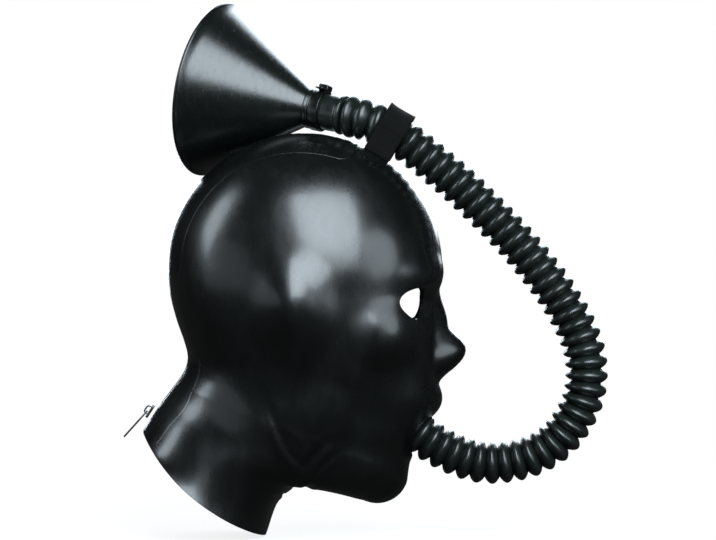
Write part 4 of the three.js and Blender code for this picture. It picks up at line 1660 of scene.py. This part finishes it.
@dataclass
class Band:
    """The band over the hose and the rounded latex tab under it."""

    surface: Surface
    hose: Hose
    station: int = 15
    inner: float = 15.95
    width: float = 20.0
    wall: float = 1.2
    tab: tuple[float, float] = (60.0, 19.0)
    drop_from: float = 12.0

    @property
    def frame(self) -> np.ndarray:
        """Frame on the band: Z runs along the hose and Y away from the hood."""
        scale = np.array([self.hose.form.breadth / 2, -self.hose.form.length / 2, -self.hose.form.height])
        middle = np.array(self.hose.route[self.station]) * scale
        nearest = int(np.argmin(np.linalg.norm(self.hose.centre - middle, axis=1)))
        along = self.hose.centre[nearest + 2] - self.hose.centre[nearest - 2]
        along /= np.linalg.norm(along)
        away = np.cross([1.0, 0.0, 0.0], along)
        away /= np.linalg.norm(away)
        matrix = np.eye(4)
        matrix[:3, 0], matrix[:3, 1], matrix[:3, 2] = np.cross(away, along), away, along
        matrix[:3, 3] = middle
        return matrix

    def _laid(self, across: np.ndarray, along: np.ndarray) -> tuple[np.ndarray, np.ndarray]:
        """Lays a grid of places in the band's frame on the hood.

        Args:
            across: Places across the hose.
            along: Places along the hose.

        Returns:
            Points and outward directions.
        """
        places = np.stack([across, np.full(across.shape, self.drop_from), along], axis=-1)
        starts = moved(places.reshape(-1, 3), self.frame)
        directions = np.broadcast_to(-self.frame[:3, 1], starts.shape)
        shape = (*across.shape, 3)
        return self.surface.drop(starts.reshape(shape), directions.reshape(shape).copy())

    def tab_piece(self, material: bpy.types.Material) -> bpy.types.Object:
        """Builds the rounded tab that is glued on the hood."""
        half, end = self.tab[0] / 2, self.tab[1] / 2
        turns = np.linspace(0, math.pi, 61)
        across = -np.cos(turns) * (half - 0.05)
        past = np.clip(np.abs(across) - (half - end), 0, None)
        limit = np.sqrt(np.clip(end**2 - past**2, 0.01, None))
        shares = np.linspace(-1, 1, 17)
        sideways = np.repeat(across[:, None], 17, axis=1)
        along = limit[:, None] * shares[None, :]
        points, normals = self._laid(sideways, along)
        keep = np.ones((60, 16), bool)
        piece = self.surface.sheet("strap_tab_latex", points, normals, keep, (-0.1, 1.15), material)
        bevel(piece, 0.4)
        bake_modifiers(piece, 50.0)
        set_piece(piece, Slot.LATEX, nodes=["strap_tab"])
        return piece

    def strap(self, material: bpy.types.Material) -> bpy.types.Object:
        """Builds the band as one closed loop round the hose with its floor on the tab."""
        wide, deep = 21, 24
        columns = np.linspace(-self.width / 2, self.width / 2, wide)
        turns = np.linspace(0, math.pi, 49)
        sides = np.linspace(0, 1, 12)[1:]
        floor = np.linspace(self.inner, -self.inner, deep)
        across, along = np.repeat(floor[:, None], wide, axis=1), np.repeat(columns[None, :], deep, axis=0)
        rest, _ = self._laid(across, along)
        inverse = np.linalg.inv(self.frame)
        depth = moved(rest.reshape(-1, 3), inverse).reshape(deep, wide, 3)[..., 1] + 1.3
        lift = np.clip((columns - 5.5) / 4.5, 0, 1) ** 2 * 0.7
        lift = lift + np.clip((-columns - 6.5) / 3.5, 0, 1) ** 2 * 0.4
        rows = []
        for turn in turns:
            sag = 0.35 * np.sin(3.0 * turn + columns * 0.35)
            radius = self.inner + 0.15 + lift * math.sin(turn) ** 0.5 + 0.3 * sag
            rows.append(np.stack([radius * math.cos(turn), radius * math.sin(turn), columns], axis=1))
        for share in sides:
            rows.append(np.stack([np.full(wide, -self.inner - 0.1), share * depth[-1], columns], axis=1))
        for index in range(deep - 2, 0, -1):
            rows.append(np.stack([np.full(wide, floor[index]), depth[index], columns], axis=1))
        for share in sides[::-1]:
            rows.append(np.stack([np.full(wide, self.inner + 0.1), share * depth[0], columns], axis=1))
        inner = np.array(rows)
        for _ in range(2):
            inner = 0.25 * np.roll(inner, 1, axis=0) + 0.5 * inner + 0.25 * np.roll(inner, -1, axis=0)
        around = np.roll(inner, -1, axis=0) - np.roll(inner, 1, axis=0)
        normal = np.cross(around, [0.0, 0.0, 1.0])
        normal /= np.linalg.norm(normal, axis=2, keepdims=True)
        outer = inner + normal * self.wall
        count = inner.shape[0] * wide
        faces = []
        for row in range(len(inner)):
            after = (row + 1) % len(inner)
            for column in range(wide - 1):
                here, there = row * wide + column, after * wide + column
                cell = [here, here + 1, there + 1, there]
                faces.append(cell)
                faces.append([count + corner for corner in cell[::-1]])
            for column in (0, wide - 1):
                here, there = row * wide + column, after * wide + column
                faces.append([here, there, count + there, count + here])
        points = moved(np.vstack([inner.reshape(-1, 3), outer.reshape(-1, 3)]), self.frame)
        piece = mesh_piece("hose_band", points, faces, material, 50.0)
        middle = inner[:, wide // 2]
        run = np.cumsum(np.linalg.norm(np.diff(middle, axis=0, prepend=middle[:1]), axis=1))
        grid = inner.shape[:2]
        weave = np.stack(
            [np.broadcast_to(columns, grid), np.broadcast_to(run[:, None], grid), np.zeros(grid)], axis=-1
        ).reshape(-1, 3) * MM
        carry(piece, "weave", np.vstack([weave, weave]))
        face_outwards(piece)
        bevel(piece, 0.35, 2)
        bake_modifiers(piece, 50.0)
        set_piece(piece, Slot.WEBBING, nodes=["hose_strap"])
        return piece


# Set


@dataclass
class Studio:
    """Camera, lights and floor."""

    scale: float = 0.72
    image: tuple[int, int] = (716, 540)
    origin_pixel: tuple[float, float] = (305.0, 135.0)
    distance: float = 1900.0
    floor: float = -0.2885

    def camera(self) -> None:
        """Places the camera at the wearer's right, level with the middle of the hood."""
        wide = self.image[0] * self.scale
        reach = (self.image[0] / 2 - self.origin_pixel[0]) * self.scale
        height = (self.origin_pixel[1] - self.image[1] / 2) * self.scale
        data = bpy.data.cameras.new("camera")
        data.sensor_width = 36.0
        data.lens = 36.0 * self.distance / wide
        data.clip_end = 50.0
        camera = bpy.data.objects.new("camera", data)
        camera.location = Vector((-self.distance, -reach, height)) * MM
        camera.rotation_euler = (math.pi / 2, 0.0, -math.pi / 2)
        bpy.context.scene.collection.objects.link(camera)
        bpy.context.scene.camera = camera

    def light(
        self, name: str, place: Sequence[float], size: Sequence[float], power: float, shape: str = "ELLIPSE"
    ) -> None:
        """Adds a soft box that looks at the middle of the hood.

        Args:
            name: The light's name.
            place: Where it stands, in metres.
            size: Its width and height, in metres.
            power: Its power in watts.
            shape: Its outline.
        """
        data = bpy.data.lights.new(name, "AREA")
        data.shape = shape
        data.color = (0.8, 0.92, 1.0)
        data.size, data.size_y = size
        data.energy = power
        lamp = bpy.data.objects.new(name, data)
        lamp.location = place
        aim = Vector((0.0, 0.0, -0.12)) - Vector(place)
        lamp.rotation_euler = aim.to_track_quat("-Z", "Y").to_euler()
        bpy.context.scene.collection.objects.link(lamp)

    def ground(self) -> None:
        """Lays a wide pale floor that turns into plain white far away."""
        mesh = bpy.data.meshes.new("floor")
        reach = 14.0
        mesh.from_pydata(
            [(x * reach, y * reach, self.floor) for x, y in ((-1, -1), (1, -1), (1, 1), (-1, 1))],
            [],
            [(0, 1, 2, 3)],
        )
        tree = ShaderTree("floor")
        x, y, _ = tree.axes(tree.place())
        away = ((x * x + y * y) ** 0.5).between(-2.4, 1.0)
        seen = Value(tree, tree.node("ShaderNodeLightPath", {}, {}).outputs["Is Camera Ray"])
        glow = tree.node("ShaderNodeEmission", {}, {"Color": (1.0, 1.0, 1.0), "Strength": seen * 0.96 + 0.04})
        tree.dress(Base_Color=(0.86, 0.86, 0.86), Roughness=0.9)
        share = seen * away + (1.0 - seen)
        mix = tree.node("ShaderNodeMixShader", {}, {0: share, 1: tree.shader.outputs[0], 2: glow.outputs[0]})
        tree.links.new(mix.outputs[0], tree.output.inputs["Surface"])
        mesh.materials.append(tree.material)
        floor = bpy.data.objects.new("floor", mesh)
        bpy.context.scene.collection.objects.link(floor)

    def world(self) -> None:
        """Makes a pale surround whose light on the pieces is dim."""
        bpy.context.scene.view_settings.view_transform = "Standard"
        world = bpy.data.worlds.new("surround")
        world.use_nodes = True
        bpy.context.scene.world = world
        nodes, links = world.node_tree.nodes, world.node_tree.links
        seen = nodes["Background"]
        seen.inputs["Color"].default_value = (1.0, 1.0, 1.0, 1.0)
        seen.inputs["Strength"].default_value = 1.0
        dim = nodes.new("ShaderNodeBackground")
        dim.inputs["Color"].default_value = (0.9, 0.95, 1.0, 1.0)
        dim.inputs["Strength"].default_value = 0.025
        path = nodes.new("ShaderNodeLightPath")
        mix = nodes.new("ShaderNodeMixShader")
        links.new(path.outputs["Is Camera Ray"], mix.inputs[0])
        links.new(dim.outputs[0], mix.inputs[1])
        links.new(seen.outputs[0], mix.inputs[2])
        links.new(mix.outputs[0], nodes["World Output"].inputs["Surface"])

    def build(self) -> None:
        """Sets the floor, the surround and the lights."""
        self.ground()
        self.world()
        self.light("key", (-1.3, -0.5, 0.72), (1.0, 1.45), 58.0, "RECTANGLE")
        self.light("back_strip", (-0.35, 1.25, 0.6), (0.5, 1.2), 11.0)
        self.light("front_fill", (-0.85, -1.2, 0.1), (0.7, 0.9), 7.0)
        self.light("low_back", (-0.9, 1.1, -0.25), (1.4, 1.1), 3.0)
        self.light("far_side", (1.4, -0.35, 0.7), (1.0, 1.4), 34.0, "RECTANGLE")
        self.light("far_back", (1.75, 0.5, 0.4), (0.5, 1.2), 12.0)


def main() -> None:
    """Builds the pieces in order and reports each one."""
    logging.basicConfig(level=logging.INFO, format="%(message)s")
    studio = Studio()
    studio.camera()
    form = HeadForm()
    hose = Hose(form)
    rubber = MouldedRubber().material("hose_rubber")
    piece = hose.build(rubber)
    LOG.info("%s: %.0f mm, %d ribs", piece.name, hose.length, hose.ribs)
    latex = Latex().material("latex")
    hood = Hood(form, axis_frame(hose.centre[0], hose.centre[2] - hose.centre[0]))
    piece = hood.build(latex)
    LOG.info("%s: %d faces", piece.name, len(piece.data.polygons))
    surface = Surface(hood, form)
    band = Band(surface, hose)
    closure = Zip(surface)
    end = FunnelEnd(hose)
    steel = PolishedMetal().material("steel")
    webbing = WovenBand().material("webbing")
    funnel_rubber = MouldedRubber((0.0032, 0.0042, 0.004), (0.007, 0.009, 0.0085), 0.2, 0.1)
    clamp_rubber = MouldedRubber((0.002, 0.0024, 0.0022), (0.008, 0.009, 0.0085), 0.24, 0.12)
    pieces = [
        Panel(surface).build(latex),
        band.tab_piece(latex),
        band.strap(webbing),
        *closure.tapes(WovenBand(pitch=0.0008, relief=0.00012).material("tape")),
        # The teeth's pale colour and low metal share are partly the nickel's own tone and partly a painted
        # highlight: they stand in for the light line that the chain catches along the back edge.
        closure.teeth(PolishedMetal((0.8, 0.81, 0.82), (0.6, 0.6, 0.61), 0.36, 0.2).material("nickel_teeth_painted_highlight")),
        closure.slider(steel),
        end.cuff(rubber),
        end.funnel(funnel_rubber.material("funnel_rubber")),
        end.clamp(clamp_rubber.material("clamp_rubber")),
    ]
    for piece in pieces:
        LOG.info("%s: %d faces", piece.name, len(piece.data.polygons))
    for name, finish in (("mouth_fitting", DullPlastic().material("fitting_plastic")), ("zip_pull", steel)):
        node = frame["nodes"][name]
        node.data.materials.clear()
        node.data.materials.append(finish)
    studio.build()


if __name__ == "__main__":
    main()
